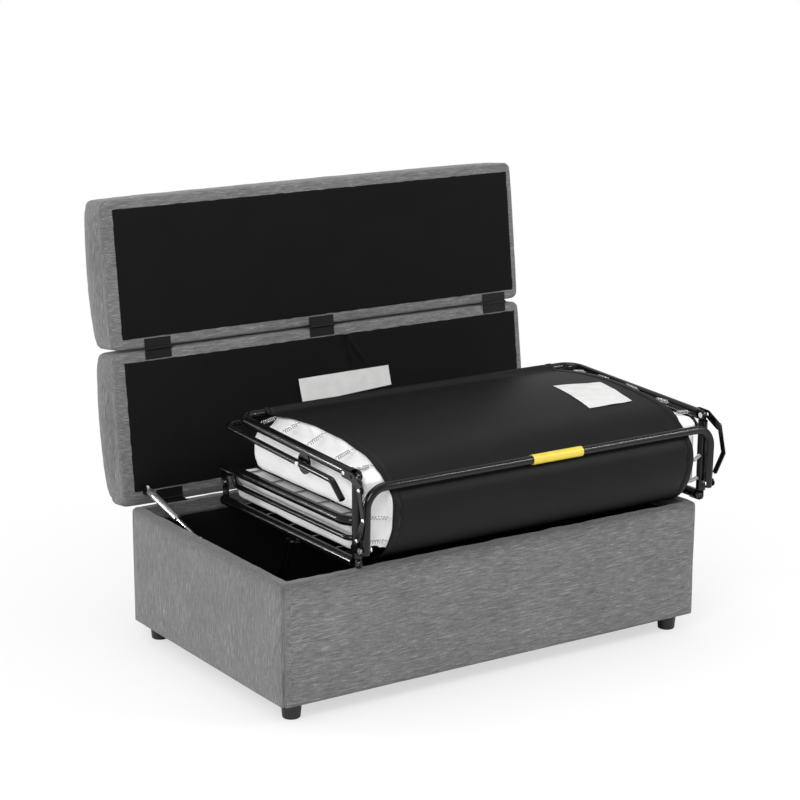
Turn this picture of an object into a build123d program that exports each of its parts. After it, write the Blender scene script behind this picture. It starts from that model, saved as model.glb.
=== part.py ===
from build123d import *
import math
import os

# Storage box, standing on four feet. Millimetres, X to the right, Y to the rear, Z up.
box_width = 1100.0
rim_height = 306.0
foot_height = 41.0
foot_top_radius = 23.0
foot_base_radius = 19.0
foot_base_rounding = 3.0
foot_inset = 45.0
foot_bolt_radius = 4.0
foot_bolt_grip = 20.0
foot_bolt_reach = 12.0
tee_nut_radius = 11.0
tee_nut_barrel_radius = 5.5
tee_nut_flange = 1.6
cover_padding = 8.0
wall_board = 15.0
floor_board_thickness = 15.0
liner_thickness = 2.0
cloth_thickness = 1.5
rim_wrap = 3.0
rim_turn_in = 33.0
corner_rounding = 18.0
rim_rounding = 2.5
mitre_reach = 90.0
overrun = 5.0

# Two-part lid, standing open and leaning back a little past upright.
lid_open_lean = 7.0
lid_overhang = 13.0
lid_panel_length = 338.0
lid_thickness = 96.0
lid_crown = 7.0
lid_rounding = 26.0
lid_end_rounding = 34.0
lid_hinge_gap = 3.6
lid_core_thickness = 12.0
lid_core_inset = 10.0
lid_border = 25.0
lid_wrap = 2.0
dust_cover_proud = 0.8

# Butt hinges: the same hinge joins box to lid and lid half to lid half.
fold_hinge_places = (-447.0, -13.0, 487.0)
rear_hinge_places = (-447.0, -13.0, 455.0)
hinge_length = 66.0
hinge_knuckles = 3
hinge_barrel_radius = 3.2
hinge_pin_radius = 1.6
hinge_leaf_thickness = 1.5
hinge_leaf_width = 22.0
hinge_stand_off = 0.2
hinge_side_gap = 0.4
hinge_back_gap = 0.8
running_gap = 0.06

# Gas struts between the lid and the box's side walls.
strut_side_inset = 42.0
strut_lid_pin_up = 32.0
strut_lid_pin_out = 10.0
strut_box_pin_from_rear = 244.0
strut_box_pin_drop = 21.0
strut_cylinder_radius = 8.0
strut_cylinder_length = 148.0
strut_bore_radius = 6.5
strut_piston_radius = 6.4
strut_piston_length = 8.0
strut_piston_place = 64.0
strut_rod_radius = 4.0
strut_end_wall = 6.0
strut_eye_radius = 8.0
strut_eye_thickness = 6.0
strut_neck_radius = 4.0
strut_pin_radius = 3.0
strut_open_clearance = 1.8
bracket_plate = 1.5
bracket_width = 30.0
bracket_height = 26.0

# Folded bed: four hinged sections of round tube, lying on the box's rim.
bed_centre_x = 103.0
rail_radius = 11.0
tube_wall = 1.5
cross_tube_radius = 8.0
rest_gap = 0.3
knee_setback = 14.0
store_rear_room = 97.0
knee_height = 188.0
base_length = 557.0
head_rise = 80.0
head_shorter = 28.0
tail_shorter = 70.0
tail_tilt = 2.3
frame_bend = 40.0
end_plate_thickness = 3.0
end_plate_gap = 0.4
end_plate_offset = 3.2
end_plate_grip = 26.0
joint_clear = 1.5
rivet_radius = 4.0
rivet_head_radius = 6.5
rivet_head_height = 2.4
base_cross_front = 70.0
base_cross_rear = 420.0
riser_width = 24.0

# Woven decks and the foam mattress between them.
deck_edge_inset = 41.0
deck_thickness = 2.0
mattress_half_width = 446.0
mattress_side_gap = 8.0
mattress_gap = 1.0
mattress_end_rounding = 12.0
base_right_trim = 54.0
base_foam = 32.0
head_foam = 33.0
layer_front = 52.0
layer_rear = 27.0
layer_swell = 3.0
layer_corner = 10.0

# Side view of the deck where it wraps from the front section over the tail.
deck_foot_up = 19.0
deck_foot_out = 8.0
shoulder_up = 135.0
shoulder_out = 38.0
belly = 14.0
split_up = 169.0
split_out = 3.0
split_gap = 0.6
corner_bow = 3.0
brow_back = 75.0
brow_rise = 21.0
brow_bow = 7.0
crown = 19.0
deck_end_setback = 12.6
knee_foam_back = 13.0
knee_foam_top = 48.0
foam_shelf = 46.0
foam_shelf_rise = 8.0
foam_side_swell = 5.0
foam_side_below = 6.0
foam_edge_rounding = 16.0
tail_foam_bottom = 94.0
tail_foam_front = 17.0
tail_foam_rounding = 40.0
tail_foam_shorter = 37.0
tail_foam_end_rounding = 22.0

# Springs that stretch the decks between the rails.
spring_wire_radius = 0.9
spring_coil_radius = 3.6
spring_turns = 7
spring_lead = 9.0
spring_clear = 0.8
tail_spring_shares = (0.852, 0.657, 0.4415, 0.2156, 0.0657)
spring_check_points = 4
knee_spring_places = (98.0, 45.0)
hidden_spring_count = 5
hidden_spring_radius = 1.8

# Legs of the bed.
front_leg_radius = 9.5
front_leg_pivot_up = 35.0
front_leg_pivot_out = 27.0
front_leg_top_up = 166.0
front_leg_top_out = 32.0
front_leg_inset = 3.0
front_leg_bend = 44.0
front_lug_radius = 9.0
side_plate_thickness = 3.0
side_plate_offset = 7.5
sleeve_thickness = 1.6
sleeve_length = 133.0
sleeve_offset = 24.0
leg_layer_gap = 1.5
link_layer = 17.0
link_half_width = 6.0
link_foot_up = 24.0
link_knee_up = 73.0
link_knee_out = 25.0
link_head_up = 133.0
link_head_out = 9.0
tail_bracket_drop = 20.0
tail_bracket_out = 36.0
tail_bracket_back = 30.0
tail_leg_radius = 7.0
tail_leg_bend = 24.0
knuckle_place = 192.0
knuckle_drop = 24.0
knuckle_radius = 24.0
tail_leg_overhang = 28.0
tail_leg_rise = 14.0
tail_arm_reach = 166.0
tail_arm_drop = 38.0
tail_arm_knee = 127.0
prop_place = 239.0
prop_drop = 17.0
prop_lean = 21.5
prop_fold = 64.0
prop_half_width = 9.0
prop_depth = 12.0
prop_web = 2.0
prop_tip_height = 12.0
prop_lug_radius = 10.0
head_leg_radius = 6.0
head_leg_drop = 34.0
head_leg_setback = 46.0
head_leg_bend = 18.0

# The bed's sections follow the base's length and the mattress's width, and so does the box's depth.
rail_spread = mattress_half_width + mattress_side_gap + rail_radius
deck_half_width = mattress_half_width - deck_edge_inset
head_length = base_length - head_shorter
tail_length = base_length - tail_shorter
tail_foam_length = tail_length - tail_foam_shorter
tail_leg_length = tail_length - knuckle_place + tail_leg_overhang
box_depth = knee_setback + base_length + store_rear_room

# Levels of the box that everything else hangs on.
half_width = box_width / 2
half_depth = box_depth / 2
wall_total = cover_padding + wall_board + liner_thickness
board_bottom = foot_height + cloth_thickness
board_top = rim_height - rim_wrap
liner_bottom = board_bottom + floor_board_thickness
store_floor = liner_bottom + liner_thickness

# Lid hinge line and the lid's half length.
lid_hinge_y = half_depth + hinge_barrel_radius + hinge_back_gap
lid_hinge_z = rim_height + hinge_barrel_radius + hinge_stand_off
lid_half_width = half_width + lid_overhang
fold_line = 2 * lid_hinge_gap + lid_panel_length
hinge_drop = hinge_barrel_radius + hinge_stand_off

# Bed hinge lines, in the plane of the side view.
knee_y = -half_depth + knee_setback
base_z = rim_height + rest_gap + rail_radius
corner_z = base_z + knee_height
rear_y = knee_y + base_length
head_z = base_z + head_rise
head_pivot_z = base_z + head_rise / 2
rail_inner = rail_spread - rail_radius
leg_layer = rail_radius + leg_layer_gap
tail_turn = math.radians(tail_tilt)
tail_end = (knee_y + tail_length * math.cos(tail_turn), corner_z + tail_length * math.sin(tail_turn))
cross_top = rim_height + rest_gap + 2 * cross_tube_radius

nodes = {}
spring_lines = []


def block(x_low, x_high, y_low, y_high, z_low, z_high):
    """A box between two corners."""
    size = (x_high - x_low, y_high - y_low, z_high - z_low)
    middle = ((x_high + x_low) / 2, (y_high + y_low) / 2, (z_high + z_low) / 2)
    return Pos(*middle) * Box(*size)


def centred_block(half_x, half_y, z_low, z_high):
    return block(-half_x, half_x, -half_y, half_y, z_low, z_high)


def rod_x(x_low, x_high, y, z, radius):
    """A round bar along X."""
    middle = ((x_low + x_high) / 2, y, z)
    return Pos(*middle) * Rot(0, 90, 0) * Cylinder(radius, x_high - x_low)


def prism_x(segments, x_low, x_high):
    """A solid whose side view is a chain of lines (2 points) and arcs (3 points)."""
    edges = []
    for points in segments:
        flat = [Vector(y, z) for y, z in points]
        edges.append(Line(*flat) if len(flat) == 2 else ThreePointArc(*flat))
    face = make_face(edges)
    return Pos(x_low, 0, 0) * extrude(Plane.YZ * face, amount=x_high - x_low)


def stadium_x(start, end, radius, x_low, x_high):
    """A flat link with round ends, seen along X."""
    (y0, z0), (y1, z1) = start, end
    length = math.hypot(y1 - y0, z1 - z0)
    slot = SlotCenterToCenter(length, 2 * radius)
    turn = math.degrees(math.atan2(z1 - z0, y1 - y0))
    face = Plane.YZ * Pos((y0 + y1) / 2, (z0 + z1) / 2) * Rot(0, 0, turn) * slot
    return Pos(x_low, 0, 0) * extrude(face, amount=x_high - x_low)


def hollow_tube(points, bends, radius, wall):
    """A round tube along a path whose corners are arcs."""
    path = FilletPolyline(*points, radius=bends) if bends else Line(*points)
    ring = Circle(radius) - Circle(radius - wall)
    return sweep(Plane(path @ 0, z_dir=path % 0) * ring, path=path)


def round_bar(points, bends, radius):
    path = FilletPolyline(*points, radius=bends) if bends else Line(*points)
    return sweep(Plane(path @ 0, z_dir=path % 0) * Circle(radius), path=path)


def span(side, near, far):
    """Ordered X limits of a layer that lies from near to far outward of the bed's middle."""
    ends = (bed_centre_x + side * near, bed_centre_x + side * far)
    return min(ends), max(ends)


def keep(name, *solids):
    """File solids under a node's name, adding to those already there."""
    for solid in solids:
        nodes.setdefault(name, []).extend(solid.solids())


def wedge(side_axis, sign):
    """The mitred sector of the box wall that one cover fills."""
    along, across = (half_width, half_depth) if side_axis == "y" else (half_depth, half_width)
    outer = across + overrun
    reach = along + overrun
    corners = [(-reach, outer), (reach, outer), (reach - mitre_reach, outer - mitre_reach)]
    corners.append((mitre_reach - reach, outer - mitre_reach))
    if side_axis == "y":
        points = [(a, sign * b) for a, b in corners]
    else:
        points = [(sign * b, a) for a, b in corners]
    outline = make_face(Polyline(*points, close=True))
    return extrude(outline, amount=rim_height + overrun)


def box_covers():
    """Padded fabric round the four walls, turned in over the rim."""
    outline = RectangleRounded(box_width, box_depth, corner_rounding)
    shell = Pos(0, 0, foot_height) * extrude(outline, amount=rim_height - foot_height)
    shell = fillet(shell.faces().sort_by(Axis.Z)[-1].edges(), rim_rounding)
    board_x = half_width - cover_padding
    board_y = half_depth - cover_padding
    inner_x = half_width - wall_total
    inner_y = half_depth - wall_total
    turned_x = inner_x + liner_thickness
    turned_y = inner_y + liner_thickness
    turn_bottom = rim_height - rim_turn_in
    board_space = centred_block(board_x, board_y, 0, board_top)
    lining = centred_block(turned_x, turned_y, turn_bottom, board_top + overrun)
    shell = shell - (board_space - lining)
    shell = shell - centred_block(inner_x, inner_y, 0, rim_height + overrun)
    for name, axis, sign in (("front_cover", "y", -1), ("rear_cover", "y", 1),
                             ("left_cover", "x", -1), ("right_cover", "x", 1)):
        keep(name, shell & wedge(axis, sign))


def box_carcase():
    """Wall boards, floor board, liner and the cloth under the floor."""
    outer_x = half_width - cover_padding
    outer_y = half_depth - cover_padding
    inner_x = outer_x - wall_board
    inner_y = outer_y - wall_board
    keep("front_board", block(-outer_x, outer_x, -outer_y, -inner_y, board_bottom, board_top))
    keep("rear_board", block(-outer_x, outer_x, inner_y, outer_y, board_bottom, board_top))
    for sign in (-1, 1):
        ends = sorted((sign * inner_x, sign * outer_x))
        keep("side_boards", block(*ends, -inner_y, inner_y, board_bottom, board_top))
    floor = centred_block(inner_x, inner_y, board_bottom, liner_bottom)
    cloth = centred_block(outer_x, outer_y, foot_height, board_bottom)
    for x, y in foot_places():
        floor = floor - Pos(x, y, liner_bottom) * Cylinder(tee_nut_barrel_radius, box_depth)
        recess = Pos(x, y, liner_bottom - tee_nut_flange / 2)
        floor = floor - recess * Cylinder(tee_nut_radius, tee_nut_flange)
        cloth = cloth - Pos(x, y, foot_height) * Cylinder(tee_nut_barrel_radius, box_depth)
    keep("floor_board", floor)
    keep("bottom_cloth", cloth)
    top = rim_height - rim_turn_in
    liner = centred_block(inner_x, inner_y, liner_bottom, top)
    hollow = centred_block(inner_x - liner_thickness, inner_y - liner_thickness, store_floor, rim_height)
    keep("box_liner", liner - hollow)


def foot_places():
    x = half_width - foot_inset
    y = half_depth - foot_inset
    return [(-x, -y), (x, -y), (-x, y), (x, y)]


def box_feet():
    """Tapered round feet, each screwed into a tee nut in the floor board."""
    taper = Cone(foot_base_radius, foot_top_radius, foot_height)
    taper = Pos(0, 0, foot_height / 2) * taper
    taper = fillet(taper.edges().sort_by(Axis.Z)[0], foot_base_rounding)
    bolt_bottom = foot_height - foot_bolt_grip
    bolt_length = foot_bolt_grip + foot_bolt_reach
    bolt = Pos(0, 0, bolt_bottom + bolt_length / 2) * Cylinder(foot_bolt_radius, bolt_length)
    flange = Pos(0, 0, liner_bottom - tee_nut_flange / 2) * Cylinder(tee_nut_radius, tee_nut_flange)
    barrel_height = liner_bottom - board_bottom
    barrel = Pos(0, 0, board_bottom + barrel_height / 2) * Cylinder(tee_nut_barrel_radius, barrel_height)
    nut = flange + barrel - bolt
    for x, y in foot_places():
        keep("feet", Pos(x, y, 0) * (taper - bolt))
        keep("foot_bolts", Pos(x, y, 0) * bolt)
        keep("foot_tee_nuts", Pos(x, y, 0) * nut)


def on_lid(solid):
    """Carry a piece drawn on an upright lid to the open lid's lean."""
    return Pos(0, lid_hinge_y, lid_hinge_z) * Rot(-lid_open_lean, 0, 0) * solid


def hinge_knuckle(x_low, x_high, y, z):
    return rod_x(x_low, x_high, y, z, hinge_barrel_radius)


def hinge_leaf(x, axis, first, plate):
    """Leaf with every second knuckle round an axis (y, z); plate is its side view's two corners."""
    pitch = hinge_length / hinge_knuckles
    left = x - hinge_length / 2
    gap = hinge_side_gap / 2
    (y_low, z_low), (y_high, z_high) = plate
    leaf = block(left, left + hinge_length, y_low, y_high, z_low, z_high)
    bore = hinge_pin_radius if first == 0 else hinge_pin_radius + running_gap
    for index in range(hinge_knuckles):
        low = left + index * pitch
        if index % 2 != first:
            leaf = leaf - rod_x(low - gap, low + pitch + gap, *axis, hinge_barrel_radius + running_gap)
    for index in range(first, hinge_knuckles, 2):
        low = left + index * pitch
        leaf = leaf + hinge_knuckle(low + gap, low + pitch - gap, *axis)
    return leaf - rod_x(left - overrun, left + hinge_length + overrun, *axis, bore)


def lid_pad(z_low):
    """Crowned padded block of one lid half, with the pocket for its core board."""
    z_high = z_low + lid_panel_length
    flat_back = lid_thickness - lid_crown
    r = lid_rounding
    bend = r * (1 - math.sqrt(0.5))
    side = [
        [(0, z_low), (0, z_high)],
        [(0, z_high), (flat_back - r, z_high)],
        [(flat_back - r, z_high), (flat_back - bend, z_high - bend), (flat_back, z_high - r)],
        [(flat_back, z_high - r), (lid_thickness, (z_low + z_high) / 2), (flat_back, z_low + r)],
        [(flat_back, z_low + r), (flat_back - bend, z_low + bend), (flat_back - r, z_low)],
        [(flat_back - r, z_low), (0, z_low)],
    ]
    w = lid_half_width
    body = prism_x(side, -w, w)
    e = lid_end_rounding
    turn = e * (1 - math.sqrt(0.5))
    far = lid_thickness + overrun
    for sign in (-1, 1):
        corner = [
            ThreePointArc((sign * w, far - e), (sign * (w - turn), far - turn), (sign * (w - e), far)),
            Line((sign * (w - e), far), (sign * (w + overrun), far)),
            Line((sign * (w + overrun), far), (sign * (w + overrun), far - e)),
            Line((sign * (w + overrun), far - e), (sign * w, far - e)),
        ]
        cutter = extrude(make_face(corner), amount=lid_panel_length + 2 * overrun)
        body = body - Pos(0, 0, z_low - overrun) * cutter
    window = block(lid_border - w, w - lid_border, -overrun, lid_wrap + overrun,
                   z_low + lid_border, z_high - lid_border)
    return body - lid_core_block(z_low) - window


def lid_core_block(z_low):
    w = lid_half_width - lid_core_inset
    z_high = z_low + lid_panel_length
    return block(-w, w, lid_wrap, lid_wrap + lid_core_thickness,
                 z_low + lid_core_inset, z_high - lid_core_inset)


def lid_dust_cover(z_low):
    w = lid_half_width - lid_border
    z_high = z_low + lid_panel_length
    return block(-w, w, -dust_cover_proud, lid_wrap, z_low + lid_border, z_high - lid_border)


def lids():
    low = lid_hinge_gap
    high = fold_line + lid_hinge_gap
    for half, start in (("back", low), ("front", high)):
        keep("lid_%s_core" % half, on_lid(lid_core_block(start)))
        keep("lid_%s_pad" % half, on_lid(lid_pad(start)))
        keep("lid_%s_dust_cover" % half, on_lid(lid_dust_cover(start)))


def lid_hinges():
    """Three hinges at the box and three on the fold, with their pins."""
    half = hinge_length / 2 - hinge_side_gap
    near = hinge_barrel_radius / 2
    inner = near + hinge_leaf_width
    plate_out = -hinge_stand_off - hinge_leaf_thickness
    rim_low = rim_height + hinge_stand_off
    box_axis = (lid_hinge_y, lid_hinge_z)
    fold_axis = (-hinge_drop, fold_line)
    box_plate = ((lid_hinge_y - inner, rim_low), (lid_hinge_y - near, rim_low + hinge_leaf_thickness))
    for x in rear_hinge_places:
        keep("rear_hinge_box_leaves", hinge_leaf(x, box_axis, 0, box_plate))
        keep("rear_hinge_pins", rod_x(x - half, x + half, *box_axis, hinge_pin_radius))
        lid_plate = ((plate_out, near), (-hinge_stand_off, inner))
        keep("rear_hinge_lid_leaves", on_lid(hinge_leaf(x, (0, 0), 1, lid_plate)))
    back_plate = ((plate_out, fold_line - inner), (-hinge_stand_off, fold_line - near))
    front_plate = ((plate_out, fold_line + near), (-hinge_stand_off, fold_line + inner))
    for x in fold_hinge_places:
        keep("fold_hinge_back_leaves", on_lid(hinge_leaf(x, fold_axis, 0, back_plate)))
        keep("fold_hinge_front_leaves", on_lid(hinge_leaf(x, fold_axis, 1, front_plate)))
        keep("fold_hinge_pins", on_lid(rod_x(x - half, x + half, *fold_axis, hinge_pin_radius)))


def strut_points():
    """Lid pin, box pin and the plane whose Z runs along the strut."""
    lean = math.radians(lid_open_lean)
    lid_y = lid_hinge_y + strut_lid_pin_up * math.sin(lean) - strut_lid_pin_out * math.cos(lean)
    lid_z = lid_hinge_z + strut_lid_pin_up * math.cos(lean) + strut_lid_pin_out * math.sin(lean)
    box_y = half_depth - strut_box_pin_from_rear
    box_z = rim_height - strut_box_pin_drop
    return lid_y, lid_z, box_y, box_z


def strut_frame(side):
    lid_y, lid_z, box_y, box_z = strut_points()
    x = side * (half_width - strut_side_inset)
    return Plane(origin=(x, lid_y, lid_z), x_dir=(1, 0, 0), z_dir=(0, box_y - lid_y, box_z - lid_z))


def strut_eye(along, bore):
    outer = Pos(0, 0, along) * Rot(0, 90, 0) * Cylinder(strut_eye_radius, strut_eye_thickness)
    hole = Pos(0, 0, along) * Rot(0, 90, 0) * Cylinder(bore, strut_eye_thickness + overrun)
    return outer, hole


def struts():
    """Gas struts: cylinder on the lid's pin, rod and piston reaching to the box's pin."""
    lid_y, lid_z, box_y, box_z = strut_points()
    length = math.hypot(box_y - lid_y, box_z - lid_z)
    for side, word in ((-1, "left"), (1, "right")):
        frame = strut_frame(side).location
        eye, hole = strut_eye(0, strut_pin_radius + running_gap)
        body_low = strut_eye_radius + strut_end_wall
        body = Pos(0, 0, (body_low + strut_cylinder_length) / 2)
        body = body * Cylinder(strut_cylinder_radius, strut_cylinder_length - body_low)
        neck = Pos(0, 0, body_low / 2) * Cylinder(strut_neck_radius, body_low)
        bore_low = body_low + strut_end_wall
        bore_high = strut_cylinder_length - strut_end_wall
        bore = Pos(0, 0, (bore_low + bore_high) / 2) * Cylinder(strut_bore_radius, bore_high - bore_low)
        mouth = Pos(0, 0, strut_cylinder_length)
        mouth = mouth * Cylinder(strut_rod_radius + running_gap, 4 * strut_end_wall)
        keep("strut_cylinder_" + word, frame * (body + neck + eye - hole - bore - mouth))
        far_eye, far_hole = strut_eye(length, strut_pin_radius + strut_open_clearance)
        rod = Pos(0, 0, (strut_piston_place + length) / 2)
        rod = rod * Cylinder(strut_rod_radius, length - strut_piston_place)
        piston = Pos(0, 0, strut_piston_place) * Cylinder(strut_piston_radius, strut_piston_length)
        keep("strut_rod_" + word, frame * (rod + piston + far_eye - far_hole))
        keep("strut_box_brackets", strut_box_bracket(side, box_y, box_z))
        keep("strut_lid_brackets", on_lid(strut_lid_bracket(side)))


def strut_box_bracket(side, y, z):
    """Plate on the side wall with the pin that the rod's eye hangs on."""
    wall = half_width - wall_total
    pin_end = half_width - strut_side_inset - strut_eye_thickness / 2 - bracket_plate
    plate_ends = sorted((side * wall, side * (wall - bracket_plate)))
    plate = block(*plate_ends, y - bracket_width / 2, y + bracket_width / 2,
                  z - bracket_height / 2, z + bracket_height / 2 - bracket_plate)
    pin_ends = sorted((side * (wall - bracket_plate / 2), side * pin_end))
    return plate + rod_x(*pin_ends, y, z, strut_pin_radius)


def strut_lid_bracket(side):
    """Angle under the lid: a plate on the lining and a tab that carries the pin."""
    pin_x = half_width - strut_side_inset
    tab_out = pin_x + strut_eye_thickness / 2 + bracket_plate
    tab_ends = sorted((side * tab_out, side * (tab_out + bracket_plate)))
    plate_ends = sorted((side * (tab_out - bracket_width / 2), side * (tab_out + bracket_plate)))
    face = -dust_cover_proud
    low = strut_lid_pin_up - bracket_height / 2
    high = strut_lid_pin_up + bracket_height / 2
    plate = block(*plate_ends, face - bracket_plate, face, low, high)
    plate = plate - block(*sorted((side * (pin_x - bracket_width), side * tab_out)),
                          face - overrun, face + overrun,
                          strut_lid_pin_up - strut_eye_radius - bracket_plate,
                          strut_lid_pin_up + strut_eye_radius + bracket_plate)
    tab = block(*tab_ends, -strut_lid_pin_out - strut_eye_radius, face, low, high)
    pin_ends = sorted((side * (pin_x - strut_eye_thickness / 2 - bracket_plate), side * tab_out))
    pin = rod_x(*pin_ends, -strut_lid_pin_out, strut_lid_pin_up, strut_pin_radius)
    return plate + tab + pin


def base_plate_x(side):
    """X limits of the plates that belong to the base, the tail and the head's riser."""
    return span(side, rail_spread - end_plate_offset - end_plate_thickness, rail_spread - end_plate_offset)


def knee_plate_x(side):
    near = rail_spread - end_plate_offset + end_plate_gap
    return span(side, near, near + end_plate_thickness)


def pivot_hole(y, z, radius):
    far = rail_spread + 4 * rail_radius
    return rod_x(bed_centre_x - far, bed_centre_x + far, y, z, radius)


def rivet(side, y, z, near, far):
    """Rivet along X from near to far outward of the bed's middle, headed at both ends."""
    shank = rod_x(*span(side, near, far), y, z, rivet_radius)
    inner = rod_x(*span(side, near - rivet_head_height, near), y, z, rivet_head_radius)
    outer = rod_x(*span(side, far, far + rivet_head_height), y, z, rivet_head_radius)
    return shank + inner + outer


def corner_rivet(side, y, z):
    near = rail_spread - end_plate_offset - end_plate_thickness - end_plate_gap / 4
    far = rail_spread - end_plate_offset + end_plate_gap + end_plate_thickness + end_plate_gap / 4
    return rivet(side, y, z, near, far)


def rail_tube(side, start, end):
    """Straight side tube between two points of the side view."""
    x = bed_centre_x + side * rail_spread
    return hollow_tube([(x, *start), (x, *end)], 0, rail_radius, tube_wall)


def rivet_holes(solid, *places):
    for y, z, radius in places:
        solid = solid - pivot_hole(y, z, radius)
    return solid


def base_section():
    """Bottom section: side rails with end plates, cross tubes, deck, springs and foam."""
    tube_start = knee_y + rail_radius + joint_clear
    running = rivet_radius + running_gap
    prop_y, prop_z = prop_pivot()
    for side, word in ((-1, "left"), (1, "right")):
        rail = rail_tube(side, (tube_start, base_z), (rear_y, base_z))
        front_plate = stadium_x((knee_y, base_z), (knee_y + end_plate_grip, base_z),
                                rail_radius, *base_plate_x(side))
        riser = stadium_x((rear_y, base_z), (rear_y, head_pivot_z), riser_width / 2, *base_plate_x(side))
        lug = stadium_x((prop_y, base_z), (prop_y, prop_z), prop_lug_radius, *base_plate_x(side))
        rail = rail + front_plate + riser + lug
        rail = rivet_holes(rail, (knee_y, base_z, rivet_radius), (rear_y, head_pivot_z, rivet_radius),
                           (prop_y, prop_z, rivet_radius))
        keep("base_rail_" + word, rail)
        keep("base_rivets", corner_rivet(side, knee_y, base_z))
        keep("base_rivets", corner_rivet(side, rear_y, head_pivot_z))
        near = rail_spread - end_plate_offset - end_plate_thickness - end_plate_gap / 4
        far = rail_spread + leg_layer + prop_web + end_plate_gap
        keep("base_rivets", rivet(side, prop_y, prop_z, near, far))
    cross_z = rim_height + rest_gap + cross_tube_radius
    reach = rail_spread - rail_radius - end_plate_gap
    for place in (base_cross_front, base_cross_rear):
        y = knee_y + place
        ends = [(bed_centre_x - reach, y, cross_z), (bed_centre_x + reach, y, cross_z)]
        keep("base_cross_tubes", hollow_tube(ends, 0, cross_tube_radius, tube_wall))


def prop_pivot():
    return knee_y + prop_place, base_z - prop_drop


def bow(start, end, rise):
    """Arc from start to end whose middle stands rise to the left of the chord."""
    (y0, z0), (y1, z1) = start, end
    length = math.hypot(y1 - y0, z1 - z0)
    normal = ((z0 - z1) / length, (y1 - y0) / length)
    return [start, ((y0 + y1) / 2 + rise * normal[0], (z0 + z1) / 2 + rise * normal[1]), end]


def centre_of(arc):
    """Centre and radius of the circle through an arc's three points."""
    (ax, ay), (bx, by), (cx, cy) = arc
    d = 2 * (ax * (by - cy) + bx * (cy - ay) + cx * (ay - by))
    a2, b2, c2 = ax * ax + ay * ay, bx * bx + by * by, cx * cx + cy * cy
    x = (a2 * (by - cy) + b2 * (cy - ay) + c2 * (ay - by)) / d
    y = (a2 * (cx - bx) + b2 * (ax - cx) + c2 * (bx - ax)) / d
    return x, y, math.hypot(ax - x, ay - y)


def peel(arc, depth):
    """The same arc, moved depth towards its centre."""
    x, y, radius = centre_of(arc)
    share = (radius - depth) / radius
    return [(x + (p - x) * share, y + (q - y) * share) for p, q in arc]


def peel_chain(arcs, depth):
    """Neighbouring arcs moved depth inward, joined again at shared points."""
    peeled = [peel(arc, depth) for arc in arcs]
    for first, second in zip(peeled, peeled[1:]):
        joint = ((first[-1][0] + second[0][0]) / 2, (first[-1][1] + second[0][1]) / 2)
        first[-1] = joint
        second[0] = joint
    return peeled


def closed_chain(pieces):
    """Join lines and arcs end to end, and the last to the first, with short lines."""
    chain = []
    for index, piece in enumerate(pieces):
        chain.append(piece)
        following = pieces[(index + 1) % len(pieces)]
        if math.dist(piece[-1], following[0]) > running_gap / 10:
            chain.append([piece[-1], following[0]])
    return chain


def reverse(arcs):
    return [arc[::-1] for arc in arcs[::-1]]


def sheet_x(arcs, half):
    """A woven sheet, its outer face on the arcs of a side view."""
    inner = peel_chain(arcs, deck_thickness)
    return prism_x(closed_chain(arcs + reverse(inner)), bed_centre_x - half, bed_centre_x + half)


def foam_x(pieces, x_low, x_high):
    """A foam layer with softened ends."""
    solid = prism_x(closed_chain(pieces), x_low, x_high)
    ends = solid.faces().sort_by(Axis.X)
    return fillet(ends[0].edges() + ends[-1].edges(), mattress_end_rounding)


def deck_arcs():
    """Outer face of the deck: up the front section, then round and back over the tail."""
    foot = (knee_y - deck_foot_out, base_z + deck_foot_up)
    shoulder = (knee_y - shoulder_out, base_z + shoulder_up)
    split = (knee_y - split_out, base_z + split_up)
    brow = (knee_y + brow_back, corner_z + brow_rise)
    rear = (tail_end[0] - deck_end_setback, tail_end[1] - deck_thickness)
    knee = [bow(shoulder, foot, -belly)[::-1], bow(shoulder, split, corner_bow)]
    tail_split = (split[0] + split_gap, split[1] + split_gap)
    tail = [bow(tail_split, brow, brow_bow), bow(brow, rear, crown)]
    return knee, tail


def layer_prism(y_low, y_high, z_low, z_high, x_low, x_high, swell):
    """Foam layer with flat faces and a drawn-in, crowned edge front and rear."""
    middle = (z_low + z_high) / 2
    drawn = layer_corner
    pieces = [
        [(y_low + drawn, z_low), (y_high - drawn, z_low)],
        [(y_high - drawn, z_low), (y_high + swell, middle), (y_high - drawn, z_high)],
        [(y_high - drawn, z_high), (y_low + drawn, z_high)],
        [(y_low + drawn, z_high), (y_low - swell, middle), (y_low + drawn, z_low)],
    ]
    return foam_x(pieces, x_low, x_high)


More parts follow.
